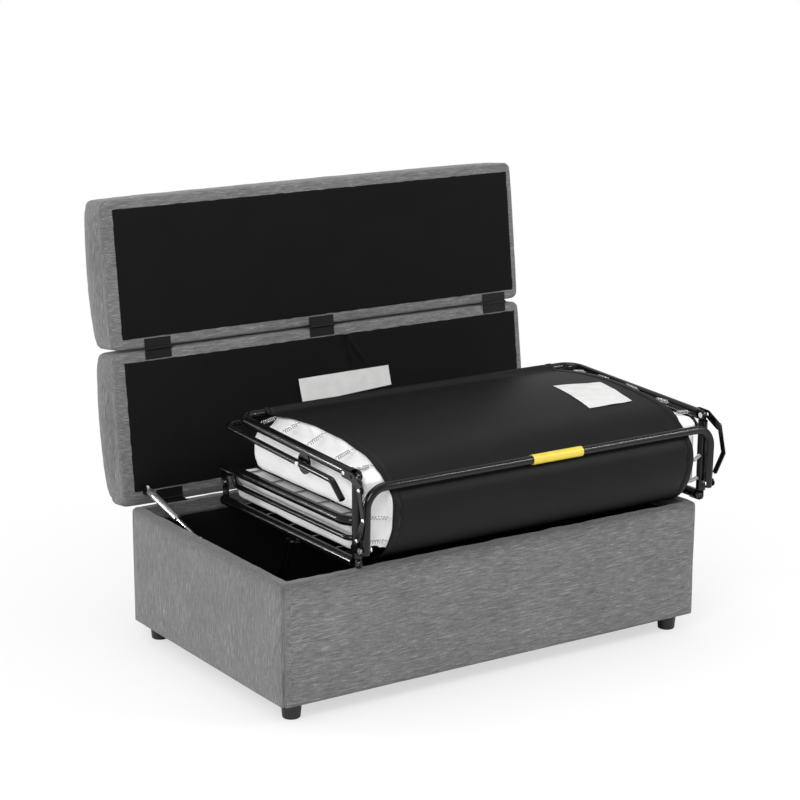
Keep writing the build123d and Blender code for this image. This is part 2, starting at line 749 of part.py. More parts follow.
def bottom_layers():
    """Decks and foam of the base and of the head, which lies face down on it."""
    front = knee_y + layer_front
    rear = rear_y - layer_rear
    left = bed_centre_x - mattress_half_width
    right = bed_centre_x + mattress_half_width
    deck_left = bed_centre_x - deck_half_width
    deck_right = bed_centre_x + deck_half_width
    trimmed = right - base_right_trim
    base_deck = cross_top + rest_gap
    base_foam_low = base_deck + deck_thickness + rest_gap
    head_foam_low = base_foam_low + base_foam + mattress_gap
    head_deck = head_foam_low + head_foam + rest_gap
    keep("base_deck", block(deck_left, trimmed, front, rear, base_deck, base_deck + deck_thickness))
    keep("base_mattress", layer_prism(front, rear, base_foam_low, base_foam_low + base_foam,
                                      left, trimmed, layer_swell))
    keep("head_mattress", layer_prism(front, rear, head_foam_low, head_foam_low + head_foam,
                                      left, right, layer_swell))
    keep("head_deck", block(deck_left, deck_right, front, rear, head_deck, head_deck + deck_thickness))
    step = (rear - front) / hidden_spring_count
    for index in range(hidden_spring_count):
        y = front + (index + 0.5) * step
        for side in (-1, 1):
            far = bed_centre_x + side * rail_inner
            ends = sorted((far - side * spring_clear, bed_centre_x + side * deck_half_width))
            keep("head_springs", rod_x(*ends, y, head_z - rail_radius / 4, hidden_spring_radius))
        ends = (bed_centre_x - rail_inner + spring_clear, deck_left)
        keep("base_springs", rod_x(*ends, y, base_z + rail_radius / 2, hidden_spring_radius))


def head_section():
    """Head frame folded over the base, with its leg folded beneath it."""
    left = bed_centre_x - rail_spread
    right = bed_centre_x + rail_spread
    front = rear_y - head_length
    points = [(left, rear_y, head_z), (left, front, head_z)]
    points += [(right, front, head_z), (right, rear_y, head_z)]
    frame = hollow_tube(points, frame_bend, rail_radius, tube_wall)
    for side in (-1, 1):
        plate = knee_plate_x(side)
        frame = frame + stadium_x((rear_y, head_pivot_z), (rear_y, head_z), riser_width / 2, *plate)
    keep("head_frame", rivet_holes(frame, (rear_y, head_pivot_z, rivet_radius + running_gap)))
    level = head_z - head_leg_drop
    back = rear_y - head_leg_setback
    low = [(left, back, head_z - rail_radius), (left, back, level), (left, front, level),
           (right, front, level), (right, back, level), (right, back, head_z - rail_radius)]
    keep("head_leg", round_bar(low, head_leg_bend, head_leg_radius))


def knee_section():
    """Front section: short side tubes with a plate at each end, deck and foam."""
    running = rivet_radius + running_gap
    low = base_z + rail_radius + joint_clear
    high = corner_z - rail_radius - joint_clear
    pivot = front_leg_pivot()
    for side in (-1, 1):
        rail = rail_tube(side, (knee_y, low), (knee_y, high))
        foot = (knee_y, base_z + end_plate_grip)
        rail = rail + stadium_x((knee_y, base_z), foot, rail_radius, *knee_plate_x(side))
        rail = rail + stadium_x((knee_y, corner_z - end_plate_grip), (knee_y, corner_z),
                                rail_radius, *knee_plate_x(side))
        near = rail_spread + side_plate_offset
        rail = rail + stadium_x((knee_y, pivot[1]), pivot, front_lug_radius,
                                *span(side, near, near + side_plate_thickness))
        rail = rivet_holes(rail, (knee_y, base_z, running), (knee_y, corner_z, rivet_radius),
                           (*pivot, rivet_radius))
        keep("knee_rails", rail)
        keep("knee_rivets", corner_rivet(side, knee_y, corner_z))
        far = rail_spread + side_plate_offset + side_plate_thickness
        leg_inner = rail_spread - front_leg_inset - front_leg_radius - end_plate_gap
        keep("knee_rivets", rivet(side, *pivot, leg_inner, far))
    knee, tail = deck_arcs()
    keep("knee_deck", sheet_x(knee, deck_half_width))
    skin = deck_thickness + rest_gap
    inner = peel_chain(knee, skin)
    back = knee_y + knee_foam_back
    upper = (back, corner_z - rail_radius - knee_foam_top)
    lower = (back, base_z + deck_foot_up + rail_radius)
    pieces = inner + [[upper, lower]]
    foam = prism_x(closed_chain(pieces), bed_centre_x - half_width, bed_centre_x + half_width)
    keep("knee_mattress", foam & knee_foam_plan())


def knee_foam_plan():
    """Plan view of the front foam: its sides slope back so that the springs pass them."""
    half = mattress_half_width
    near = half - foam_shelf
    back = knee_y + knee_foam_back + overrun
    side = knee_y + foam_side_below
    front = knee_y - shoulder_out - overrun
    step = side - foam_shelf_rise
    points = [(-half, back), (-half, side), (-near, step), (-near, front)]
    points += [(near, front), (near, step), (half, side), (half, back)]
    outline = make_face(Polyline(*points, close=True))
    return Pos(bed_centre_x, 0, base_z) * extrude(outline, amount=corner_z - base_z)


def front_leg_pivot():
    return knee_y - front_leg_pivot_out, base_z + front_leg_pivot_up


def front_leg():
    """U-shaped front leg folded up against the front section, its sleeve and its side links."""
    pivot_y, pivot_z = front_leg_pivot()
    top = (knee_y - front_leg_top_out, base_z + front_leg_top_up)
    reach = rail_spread - front_leg_inset
    left, right = bed_centre_x - reach, bed_centre_x + reach
    foot_z = pivot_z - front_leg_radius
    points = [(left, pivot_y, foot_z), (left, *top), (right, *top), (right, pivot_y, foot_z)]
    leg = hollow_tube(points, front_leg_bend, front_leg_radius, tube_wall)
    link_foot = (pivot_y, pivot_z + link_foot_up)
    link_knee = (pivot_y - link_knee_out, pivot_z + link_knee_up)
    link_head = (pivot_y - link_head_out, pivot_z + link_head_up)
    keep("front_leg", rivet_holes(leg, (pivot_y, pivot_z, rivet_radius + running_gap),
                                  (*link_foot, rivet_radius / 2)))
    middle = bed_centre_x + sleeve_offset
    ends = (middle - sleeve_length / 2, middle + sleeve_length / 2)
    sleeve = rod_x(*ends, *top, front_leg_radius + sleeve_thickness) - rod_x(*ends, *top, front_leg_radius)
    keep("front_leg_sleeve", sleeve)
    for side in (-1, 1):
        layer = span(side, rail_spread + link_layer, rail_spread + link_layer + side_plate_thickness)
        link = stadium_x(link_foot, link_knee, link_half_width, *layer)
        link = link + stadium_x(link_knee, link_head, link_half_width, *layer)
        pin = rod_x(*span(side, reach, rail_spread + link_layer), *link_foot, rivet_radius / 2)
        hole = rod_x(*layer, *link_head, rivet_radius)
        keep("front_leg_links", link + pin - hole)


def tail_line(place, drop):
    """Point of the side view at a distance along the tail's rail, drop below it."""
    y = knee_y + place * math.cos(tail_turn) + drop * math.sin(tail_turn)
    return y, corner_z + place * math.sin(tail_turn) - drop * math.cos(tail_turn)


def tail_section():
    """Tail section on top of the pack: bent tube frame, knuckle plates, deck and foam."""
    left, right = bed_centre_x - rail_spread, bed_centre_x + rail_spread
    start = tail_line(rail_radius + joint_clear, 0)
    points = [(left, *start), (left, *tail_end), (right, *tail_end), (right, *start)]
    frame = hollow_tube(points, frame_bend, rail_radius, tube_wall)
    knuckle = tail_line(knuckle_place, knuckle_drop)
    boss = tail_line(tail_bracket_back, 0)
    horn = (knee_y - tail_bracket_out, corner_z - tail_bracket_drop)
    plate_near = rail_spread + side_plate_offset
    outer_near = rail_spread + leg_layer - end_plate_gap / 2
    for side in (-1, 1):
        grip = tail_line(end_plate_grip, 0)
        frame = frame + stadium_x((knee_y, corner_z), grip, rail_radius, *base_plate_x(side))
        disc = rod_x(*span(side, plate_near, plate_near + side_plate_thickness), *knuckle, knuckle_radius)
        bracket = span(side, outer_near, outer_near + side_plate_thickness)
        horn_plate = stadium_x(boss, (knee_y, corner_z), front_lug_radius, *bracket)
        horn_plate = horn_plate + stadium_x((knee_y, corner_z), horn, front_lug_radius, *bracket)
        stem = rod_x(*span(side, plate_near, outer_near + side_plate_thickness), *boss, front_lug_radius)
        frame = frame + disc + horn_plate + stem
        far = rail_spread + leg_layer + 2 * tail_leg_radius + end_plate_gap
        keep("tail_rivets", rivet(side, *knuckle, plate_near, far))
    frame = rivet_holes(frame, (knee_y, corner_z, rivet_radius + running_gap), (*knuckle, rivet_radius))
    keep("tail_frame", frame)
    knee, tail = deck_arcs()
    keep("tail_deck", sheet_x(tail, deck_half_width))
    keep("tail_mattress", tail_foam(tail))


def tail_foam(tail):
    """Foam under the tail's deck: rounded over the front corner and at the rear end."""
    skin = deck_thickness + rest_gap
    front_arc, top_arc = peel_chain(tail, skin)
    bottom = corner_z - tail_foam_bottom
    r = tail_foam_rounding
    bend = r * (1 - math.sqrt(0.5))
    front = knee_y + tail_foam_front
    end = knee_y + tail_foam_length
    e = tail_foam_end_rounding
    turn = e * (1 - math.sqrt(0.5))
    centre_y, centre_z, radius = centre_of(top_arc)
    top_y = end - e
    top_z = centre_z + math.sqrt(radius ** 2 - (top_y - centre_y) ** 2)
    side_z = top_z - e
    start = front_arc[0]
    mid_y = (top_arc[0][0] + top_y) / 2
    mid_z = centre_z + math.sqrt(radius ** 2 - (mid_y - centre_y) ** 2)
    pieces = [
        front_arc,
        [top_arc[0], (mid_y, mid_z), (top_y, top_z)],
        [(top_y, top_z), (end - turn, top_z - turn), (end, side_z)],
        [(end, side_z), (end, bottom + e)],
        [(end, bottom + e), (end - turn, bottom + turn), (end - e, bottom)],
        [(end - e, bottom), (front + r, bottom)],
        [(front + r, bottom), (front + bend, bottom + bend), (front, bottom + r)],
        [(front, bottom + r), (start[0] + mattress_gap, start[1] - mattress_gap)],
    ]
    foam = prism_x(closed_chain(pieces), bed_centre_x - half_width, bed_centre_x + half_width)
    return foam & tail_foam_end_view()


def tail_foam_end_view():
    """End view of the tail foam: drawn-in swelling sides, sloped off below the springs."""
    half = mattress_half_width
    near = half - foam_shelf
    r = foam_edge_rounding
    bend = r * (1 - math.sqrt(0.5))
    bottom = corner_z - tail_foam_bottom
    side = corner_z - foam_side_below
    top = corner_z + half_width
    lower = bottom + r
    swell = half + foam_side_swell / 2
    drawn = half - foam_side_swell / 2
    edges = []
    for sign in (-1, 1):
        edges.append(ThreePointArc((sign * (drawn - r), bottom), (sign * (drawn - bend), bottom + bend),
                                   (sign * drawn, lower)))
        edges.append(ThreePointArc((sign * drawn, lower), (sign * swell, (lower + side) / 2),
                                   (sign * drawn, side)))
        edges.append(Line((sign * drawn, side), (sign * near, side + foam_shelf_rise)))
        edges.append(Line((sign * near, side + foam_shelf_rise), (sign * near, top)))
    edges.append(Line((r - drawn, bottom), (drawn - r, bottom)))
    edges.append(Line((-near, top), (near, top)))
    depth = box_depth + tail_length
    face = Plane.XZ * make_face(edges)
    return Pos(bed_centre_x, box_depth, 0) * extrude(face, amount=depth)


def tail_leg():
    """Leg of the tail, outside the rails: long arms to the rear, short arms bent down in front."""
    pivot = tail_line(knuckle_place, knuckle_drop)
    x = rail_spread + leg_layer + tail_leg_radius
    rear = (pivot[0] + tail_leg_length, pivot[1] + tail_leg_rise)
    tip = (pivot[0] - tail_arm_reach, pivot[1] - tail_arm_drop)
    slope = tail_leg_rise / tail_leg_length
    knee = (pivot[0] - tail_arm_knee, pivot[1] - tail_arm_knee * slope)
    left, right = bed_centre_x - x, bed_centre_x + x
    points = [(left, *tip), (left, *knee), (left, *rear), (right, *rear), (right, *knee), (right, *tip)]
    bar = round_bar(points, tail_leg_bend, tail_leg_radius)
    keep("tail_leg", rivet_holes(bar, (*pivot, rivet_radius + running_gap)))


def prop_legs():
    """Channel legs under the base: the left one stands in the box, the right one is folded."""
    pivot_y, pivot_z = prop_pivot()
    drop = pivot_z - store_floor - rest_gap
    reach = drop / math.cos(math.radians(prop_lean))
    for side, word, turn in ((-1, "left", prop_lean), (1, "right", prop_lean + prop_fold)):
        near = rail_spread + leg_layer
        web = span(side, near, near + prop_web)
        full = span(side, near, near + prop_depth)
        channel = block(*full, -prop_half_width, prop_half_width, prop_tip_height - reach, prop_half_width)
        hollow = block(*span(side, near + prop_web, near + prop_depth + overrun), prop_web - prop_half_width,
                       prop_half_width - prop_web, prop_tip_height - reach - overrun,
                       prop_half_width + overrun)
        channel = channel - hollow - rod_x(*full, 0, 0, rivet_radius + running_gap)
        tip = block(*full, -prop_half_width, prop_half_width, -reach - overrun, prop_tip_height - reach)
        lean = Rot(turn, 0, 0)
        floor_cut = Rot(-prop_lean, 0, 0) * block(*full, -reach, reach, -2 * reach, -drop)
        place = Pos(0, pivot_y, pivot_z)
        keep("prop_leg_" + word, place * lean * channel, place * lean * (tip - floor_cut))


def biarc(start, start_way, end, end_way):
    """Two arcs in space that leave start along one direction and reach end along another."""
    gap = end - start
    way = start_way + end_way
    a = 2 * (1 - start_way.dot(end_way))
    b = 2 * gap.dot(way)
    c = -gap.dot(gap)
    reach = -c / b if abs(a) < 1e-9 else (math.sqrt(b * b - 4 * a * c) - b) / (2 * a)
    near = start + start_way * reach
    far = end - end_way * reach
    middle = (near + far) * 0.5
    first = Edge.make_tangent_arc(start, start_way, middle)
    second = Edge.make_tangent_arc(middle, (far - near).normalized(), end)
    return [first, second]


def coil_spring(start, end):
    """Spring of round wire between two points, wound on the line that joins them."""
    start, end = Vector(*start), Vector(*end)
    along = (end - start).normalized()
    length = (end - start).length
    across = along.cross(Vector(0, 1, 0)).normalized()
    over = along.cross(across)
    wound = length - 2 * spring_lead
    halves = 2 * spring_turns
    rise = wound / halves
    knots = [(start, along)]
    for index in range(halves + 1):
        turn = math.pi * index
        out = across * math.cos(turn) + over * math.sin(turn)
        way = over * math.cos(turn) - across * math.sin(turn)
        point = start + along * (spring_lead + index * rise) + out * spring_coil_radius
        slope = along * (rise / (math.pi * spring_coil_radius))
        knots.append((point, (way + slope).normalized()))
    knots.append((end, along))
    edges = []
    for (p, v), (q, w) in zip(knots, knots[1:]):
        edges += biarc(p, v, q, w)
    shares = [index / spring_check_points for index in range(spring_check_points)]
    spring_lines.append([tuple(edge @ share) for edge in edges for share in shares])
    return sweep(Plane(start, z_dir=along) * Circle(spring_wire_radius), path=Wire(edges))


def springs():
    """Springs from the rails to the deck's edges, on the tail and on the front section."""
    knee, tail = deck_arcs()
    centre_y, centre_z, radius = centre_of(tail[1])
    brow_y, brow_z, brow_radius = centre_of(tail[0])
    belly_y, belly_z, belly_radius = centre_of(knee[0])
    half_sheet = deck_thickness / 2
    for side in (-1, 1):
        rail_x = bed_centre_x + side * rail_spread
        edge_x = bed_centre_x + side * deck_half_width
        for share in tail_spring_shares:
            y, z = tail_line(share * tail_length, 0)
            if y > tail[0][-1][0]:
                deck_z = centre_z + math.sqrt(radius ** 2 - (y - centre_y) ** 2) - half_sheet
            else:
                deck_z = brow_z + math.sqrt(brow_radius ** 2 - (y - brow_y) ** 2) - half_sheet
            keep("tail_springs", stretched(Vector(rail_x, y, z), Vector(edge_x, y, deck_z)))
        for place in knee_spring_places:
            z = base_z + place
            y = belly_y - math.sqrt(belly_radius ** 2 - (z - belly_z) ** 2) + half_sheet
            keep("knee_springs", stretched(Vector(rail_x, knee_y, z), Vector(edge_x, y, z)))


def stretched(rail, edge):
    """A spring from a rail's surface to the deck's edge."""
    way = (edge - rail).normalized()
    return coil_spring(rail + way * (rail_radius + spring_clear), edge - way * spring_clear)


def report_spring_gap():
    """Least gap between the turns, measured on points along every wire, with its radius taken off."""
    least = math.inf
    for points in spring_lines:
        along = [0.0]
        for a, b in zip(points, points[1:]):
            along.append(along[-1] + math.dist(a, b))
        for near, a in enumerate(points):
            for far in range(near + 1, len(points)):
                if along[far] - along[near] > math.pi * spring_coil_radius:
                    least = min(least, math.dist(points[far], a))
    print("least gap between spring turns, mm:", round(least - 2 * spring_wire_radius, 2))


box_covers()
box_carcase()
box_feet()
lids()
lid_hinges()
struts()
base_section()
bottom_layers()
head_section()
knee_section()
front_leg()
tail_section()
tail_leg()
prop_legs()
springs()
report_spring_gap()

everything = Compound(children=[solid for solids in nodes.values() for solid in solids])
bounds = everything.bounding_box()
shift = (-(bounds.min.X + bounds.max.X) / 2, -(bounds.min.Y + bounds.max.Y) / 2, -bounds.min.Z)
size = (bounds.max.X - bounds.min.X, bounds.max.Y - bounds.min.Y, bounds.max.Z - bounds.min.Z)
print("moved so that the origin is the middle of the underside, mm:", [round(v, 4) for v in shift])
print("overall size, mm:", [round(v, 4) for v in size])

os.makedirs("parts", exist_ok=True)
for node, solids in nodes.items():
    moved = [Pos(*shift) * solid for solid in solids]
    export_step(Compound(children=moved, label=node), os.path.join("parts", node + ".step"))
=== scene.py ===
import bpy, bmesh, math
from mathutils import Vector, Matrix, noise


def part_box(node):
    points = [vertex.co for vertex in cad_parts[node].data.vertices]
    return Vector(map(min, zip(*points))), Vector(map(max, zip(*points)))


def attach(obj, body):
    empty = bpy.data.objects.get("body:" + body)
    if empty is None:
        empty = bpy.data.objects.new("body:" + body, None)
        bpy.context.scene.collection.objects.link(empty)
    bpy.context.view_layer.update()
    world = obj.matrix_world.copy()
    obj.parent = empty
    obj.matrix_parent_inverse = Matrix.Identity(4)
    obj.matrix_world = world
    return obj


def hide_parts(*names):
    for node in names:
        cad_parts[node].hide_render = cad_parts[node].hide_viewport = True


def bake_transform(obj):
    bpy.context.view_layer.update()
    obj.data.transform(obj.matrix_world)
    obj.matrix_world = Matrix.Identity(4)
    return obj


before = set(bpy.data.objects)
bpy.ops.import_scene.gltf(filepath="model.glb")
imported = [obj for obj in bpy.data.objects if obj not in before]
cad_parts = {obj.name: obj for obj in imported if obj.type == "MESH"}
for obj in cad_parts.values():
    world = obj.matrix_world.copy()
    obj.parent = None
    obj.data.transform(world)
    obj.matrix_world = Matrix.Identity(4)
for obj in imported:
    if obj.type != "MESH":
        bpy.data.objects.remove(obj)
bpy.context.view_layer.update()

# A storage sofa bed with its lid open and its bed lying folded on the box.
# Shapes are written in the millimetres of the part's source (x to the right, y to the back, z up,
# origin under the box's middle), and P() or on_lid() turns them into the frame's metres.
# Materials, lamps and simulation settings are in metres.

# ---------------------------------------------------------------- frame of the part's source
SHIFT = (-17.15, -64.5308, 0.0)     # moves the source's origin to the frame's
LEAN = math.radians(7.0)            # how far the open lid leans past upright
HINGE = (338.0, 309.4)              # y and z of the lid's hinge pins
BED = 103.0                         # x of the bed's middle

BOX_HALF = (550, 334)               # the upholstered box's half width and half depth
BOX_CORNER = 14                     # radius of its upright corners
WALL = 25                           # a wall's thickness, board and padding together
BOTTOM, RIM = 41, 306               # heights of the box's lower edge and of its rim

LID_HALF = (563.0, 169.0)           # a lid half's half width and half length
LID_CORNER = 18                     # radius of its corners
LID_BACK_START = 3.6                # where the two halves begin, along the lid from its hinge
LID_FRONT_START = 348.8


def P(x, y, z):
    """A point of the source, in millimetres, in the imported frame's metres."""
    return Vector(((x + SHIFT[0]) / 1000, (y + SHIFT[1]) / 1000, (z + SHIFT[2]) / 1000))


def on_lid(x, y, z):
    """A point given on the lid: across, behind its inner face, and along it from the hinge."""
    c, s = math.cos(LEAN), math.sin(LEAN)
    return P(x, HINGE[0] + y * c + z * s, HINGE[1] - y * s + z * c)


# ---------------------------------------------------------------- camera
eye = P(-2841.8, -4192.8, 1814.9)
heading, tip, roll = -33.719, -14.028, 0.212     # degrees
camera = bpy.data.objects.new("camera", bpy.data.cameras.new("camera"))
turn = Matrix.Rotation(math.radians(heading), 4, "Z") @ Matrix.Rotation(math.radians(90 + tip), 4, "X")
camera.matrix_world = Matrix.Translation(eye) @ turn @ Matrix.Rotation(math.radians(roll), 4, "Z")
camera.data.lens = 104.97
camera.data.sensor_width = 36
camera.data.clip_end = 200
bpy.context.collection.objects.link(camera)
bpy.context.scene.camera = camera


# ---------------------------------------------------------------- material nodes
def nodes_of(name):
    """A new material, its node tree and its shader."""
    mat = bpy.data.materials.new(name)
    mat.use_nodes = True
    tree = mat.node_tree
    shader = tree.nodes["Principled BSDF"]
    return mat, tree, shader


def add(tree, kind, **values):
    """A new node; each value goes to the input of that name, or else to the node's own setting."""
    node = tree.nodes.new(kind)
    for key, value in values.items():
        if key in node.inputs:
            node.inputs[key].default_value = value
        else:
            setattr(node, key, value)
    return node


def noise_of(tree, scale, detail=2.0, stretch=(1, 1, 1), rough=0.5):
    """Noise in the part's own metres; stretch is its frequency along each axis."""
    coord = tree.nodes.get("coord") or add(tree, "ShaderNodeTexCoord", name="coord")
    mapping = add(tree, "ShaderNodeMapping")
    mapping.inputs["Scale"].default_value = stretch
    tree.links.new(coord.outputs["Object"], mapping.inputs["Vector"])
    tex = add(tree, "ShaderNodeTexNoise", Scale=scale, Detail=detail, Roughness=rough)
    tree.links.new(mapping.outputs["Vector"], tex.inputs["Vector"])
    return tex.outputs["Fac"]


def place_in(tree, axis):
    """The surface point's own coordinate along one axis; a noise_of() comes before it."""
    split = add(tree, "ShaderNodeSeparateXYZ")
    tree.links.new(tree.nodes["coord"].outputs["Object"], split.inputs[0])
    return split.outputs[axis]


def ramp(tree, source, stops):
    """Colour ramp; a stop's colour is one grey value or three values."""
    node = add(tree, "ShaderNodeValToRGB")
    elements = node.color_ramp.elements
    while len(elements) < len(stops):
        elements.new(0.5)
    for element, (place, colour) in zip(elements, stops):
        element.position = place
        element.color = (*colour, 1) if hasattr(colour, "__len__") else (colour, colour, colour, 1)
    tree.links.new(source, node.inputs["Fac"])
    return node.outputs["Color"]


def multiply(tree, colour, by, share=1.0):
    """A colour darkened or tinted by another; share is how much of that shows."""
    node = add(tree, "ShaderNodeMix", data_type="RGBA", blend_type="MULTIPLY")
    factor, first, second = node.inputs[0], node.inputs[6], node.inputs[7]
    factor.default_value = share
    tree.links.new(colour, first)
    tree.links.new(by, second)
    return node.outputs[2]


def maths(tree, operation, a, b):
    """Arithmetic on two values, each a number or a node's output."""
    node = add(tree, "ShaderNodeMath", operation=operation)
    for socket, value in zip(node.inputs, (a, b)):
        if isinstance(value, (int, float)):
            socket.default_value = value
        else:
            tree.links.new(value, socket)
    return node.outputs[0]


def bump(tree, shader, height, distance, strength):
    """Relief on the shader's normal; distance is its depth in metres."""
    node = add(tree, "ShaderNodeBump", Distance=distance, Strength=strength)
    tree.links.new(height, node.inputs["Height"])
    tree.links.new(node.outputs["Normal"], shader.inputs["Normal"])


# ---------------------------------------------------------------- materials
def upholstery(name, along):
    """Slubbed grey weave; along is the axis that the thick yarns follow."""
    mat, tree, shader = nodes_of(name)
    slubs, threads, across = [1.0, 1.0, 1.0], [1.0, 1.0, 1.0], [1.0, 1.0, 1.0]
    slubs[along] = 0.065
    threads[along] = 0.12
    across[2 if along == 0 else 1] = 0.1
    coarse = noise_of(tree, 520, detail=4, stretch=slubs, rough=0.7)
    fine = noise_of(tree, 1500, detail=2, stretch=threads, rough=0.6)
    cross = noise_of(tree, 620, detail=2, stretch=across, rough=0.6)
    patch = noise_of(tree, 7, detail=3)
    colour = ramp(tree, coarse, [(0.28, 0.07), (0.44, 0.155), (0.56, 0.20), (0.72, 0.40)])
    colour = multiply(tree, colour, ramp(tree, fine, [(0.30, 0.62), (0.66, 1.0)]), 0.6)
    colour = multiply(tree, colour, ramp(tree, cross, [(0.32, 0.68), (0.6, 1.0)]), 0.5)
    colour = multiply(tree, colour, ramp(tree, patch, [(0.3, 0.86), (0.7, 1.0)]))
    # painted shade: the weave is darkened along the box's rim, where less light falls, and the lid begins just
    # above it
    rim = [(0.272, 1.0), (0.295, 0.84), (0.3065, 0.66), (0.3085, 1.0)]
    colour = multiply(tree, colour, ramp(tree, place_in(tree, "Z"), rim))
    tree.links.new(colour, shader.inputs["Base Color"])
    shader.inputs["Roughness"].default_value = 0.88
    shader.inputs["Sheen Weight"].default_value = 0.18
    shader.inputs["Sheen Roughness"].default_value = 0.5
    shader.inputs["Specular IOR Level"].default_value = 0.25
    height = maths(tree, "ADD", coarse, maths(tree, "MULTIPLY", fine, 0.6))
    bump(tree, shader, height, distance=0.0009, strength=0.7)
    return mat


def black_cloth(name, tone, scale, rough, hem=None):
    """Fine black weave with faint cloudiness; hem is a stitched line's distance from the bed's middle."""
    mat, tree, shader = nodes_of(name)
    weave = noise_of(tree, scale, detail=2, stretch=(1, 0.35, 1))
    patch = noise_of(tree, 9, detail=3)
    colour = ramp(tree, weave, [(0.3, tone * 0.7), (0.7, tone * 1.35)])
    colour = multiply(tree, colour, ramp(tree, patch, [(0.3, 0.75), (0.7, 1.0)]))
    height = weave
    if hem:
        half_line, thick_from = 0.0011, 0.001
        off = maths(tree, "SUBTRACT", place_in(tree, "X"), (BED + SHIFT[0]) / 1000)
        off = maths(tree, "ABSOLUTE", off, 0)
        near = maths(tree, "ABSOLUTE", maths(tree, "SUBTRACT", off, hem), 0)
        line = maths(tree, "LESS_THAN", near, half_line)
        outer = maths(tree, "GREATER_THAN", off, hem + thick_from)
        stitch = add(tree, "ShaderNodeTexWave", Scale=45.0, bands_direction="Y")
        tree.links.new(tree.nodes["coord"].outputs["Object"], stitch.inputs["Vector"])
        thread = maths(tree, "MULTIPLY", line, maths(tree, "GREATER_THAN", stitch.outputs["Fac"], 0.35))
        colour = multiply(tree, colour, ramp(tree, thread, [(0.0, 1.0), (1.0, 5.0)]))
        height = maths(tree, "ADD", weave, maths(tree, "MULTIPLY", outer, 1.5))
        height = maths(tree, "SUBTRACT", height, maths(tree, "MULTIPLY", line, 2.0))
    tree.links.new(colour, shader.inputs["Base Color"])
    shader.inputs["Roughness"].default_value = rough
    shader.inputs["Specular IOR Level"].default_value = 0.15
    bump(tree, shader, height, distance=0.0004, strength=0.6)
    return mat


def ticking():
    """White mattress cover with a fine weave and soft folds."""
    mat, tree, shader = nodes_of("white_ticking")
    weave = noise_of(tree, 1100, detail=2)
    patch = noise_of(tree, 12, detail=3)
    folds = noise_of(tree, 26, detail=3, stretch=(1, 0.5, 1.6))
    colour = ramp(tree, weave, [(0.3, (0.88, 0.88, 0.875)), (0.7, (0.94, 0.94, 0.935))])
    colour = multiply(tree, colour, ramp(tree, patch, [(0.3, 0.9), (0.7, 1.0)]))
    tree.links.new(colour, shader.inputs["Base Color"])
    shader.inputs["Roughness"].default_value = 0.85
    shader.inputs["Sheen Weight"].default_value = 0.1
    height = maths(tree, "ADD", maths(tree, "MULTIPLY", weave, 0.12), folds)
    bump(tree, shader, height, distance=0.004, strength=0.5)
    return mat


def metal(name, tone, metallic, rough, wear=0.15, scale=60, stretch=(1, 1, 1), grain=0.00008, specular=0.5):
    """Metal or paint with uneven gloss and a slight grain."""
    mat, tree, shader = nodes_of(name)
    patch = noise_of(tree, scale, detail=4, stretch=stretch)
    speck = noise_of(tree, scale * 14, detail=2)
    low = [c * (1 - wear) for c in tone]
    high = [min(1, c * (1 + wear)) for c in tone]
    tree.links.new(ramp(tree, patch, [(0.3, low), (0.7, high)]), shader.inputs["Base Color"])
    shader.inputs["Metallic"].default_value = metallic
    shader.inputs["Specular IOR Level"].default_value = specular
    uneven = ramp(tree, patch, [(0.25, rough * 0.75), (0.75, rough * 1.3)])
    tree.links.new(uneven, shader.inputs["Roughness"])
    bump(tree, shader, speck, distance=grain, strength=0.5)
    return mat


def plastic(name, tone, rough):
    """Moulded plastic or stiff paper with a faint cloudiness and grain."""
    mat, tree, shader = nodes_of(name)
    speck = noise_of(tree, 1800, detail=2)
    patch = noise_of(tree, 40, detail=3)
    low = [c * 0.88 for c in tone]
    tree.links.new(ramp(tree, patch, [(0.3, low), (0.7, tone)]), shader.inputs["Base Color"])
    shader.inputs["Roughness"].default_value = rough
    bump(tree, shader, speck, distance=0.0001, strength=0.5)
    return mat


def board():
    """Raw board with its grain along x."""
    mat, tree, shader = nodes_of("raw_board")
    grain = noise_of(tree, 40, detail=5, stretch=(0.15, 1, 1))
    colour = ramp(tree, grain, [(0.3, (0.30, 0.20, 0.12)), (0.7, (0.50, 0.37, 0.24))])
    tree.links.new(colour, shader.inputs["Base Color"])
    shader.inputs["Roughness"].default_value = 0.8
    bump(tree, shader, grain, distance=0.0004, strength=0.5)
    return mat


weave_x = upholstery("upholstery_across", along=0)
weave_z = upholstery("upholstery_upright", along=2)
lining = black_cloth("lining_cloth", tone=0.0034, scale=700, rough=0.85)
deck_cloth = black_cloth("deck_cloth", tone=0.0056, scale=1200, rough=0.5, hem=0.3852)
plain_deck = black_cloth("hidden_deck_cloth", tone=0.009, scale=1200, rough=0.7)
white = ticking()
paint = metal("black_paint", (0.004, 0.004, 0.0044), metallic=0.0, rough=0.14, wear=0.25,
              grain=0.000002, specular=0.32)
rivet_steel = metal("rivet_zinc", (0.80, 0.80, 0.81), metallic=1.0, rough=0.24)
wire = metal("spring_wire", (0.52, 0.52, 0.53), metallic=1.0, rough=0.2, scale=200)
hinge_black = metal("hinge_black", (0.0035, 0.0035, 0.0035), metallic=0.0, rough=0.45, wear=0.3, specular=0.2)
bright = metal("bright_steel", (0.66, 0.66, 0.67), metallic=1.0, rough=0.22)
silver = metal("strut_silver", (0.58, 0.58, 0.59), metallic=1.0, rough=0.34, stretch=(6, 1, 1))
foot_black = plastic("foot_black", (0.014, 0.014, 0.014), rough=0.42)
yellow = plastic("yellow_sleeve", (0.74, 0.57, 0.05), rough=0.38)
label_white = plastic("label_paper", (0.72, 0.72, 0.71), rough=0.6)
wood = board()

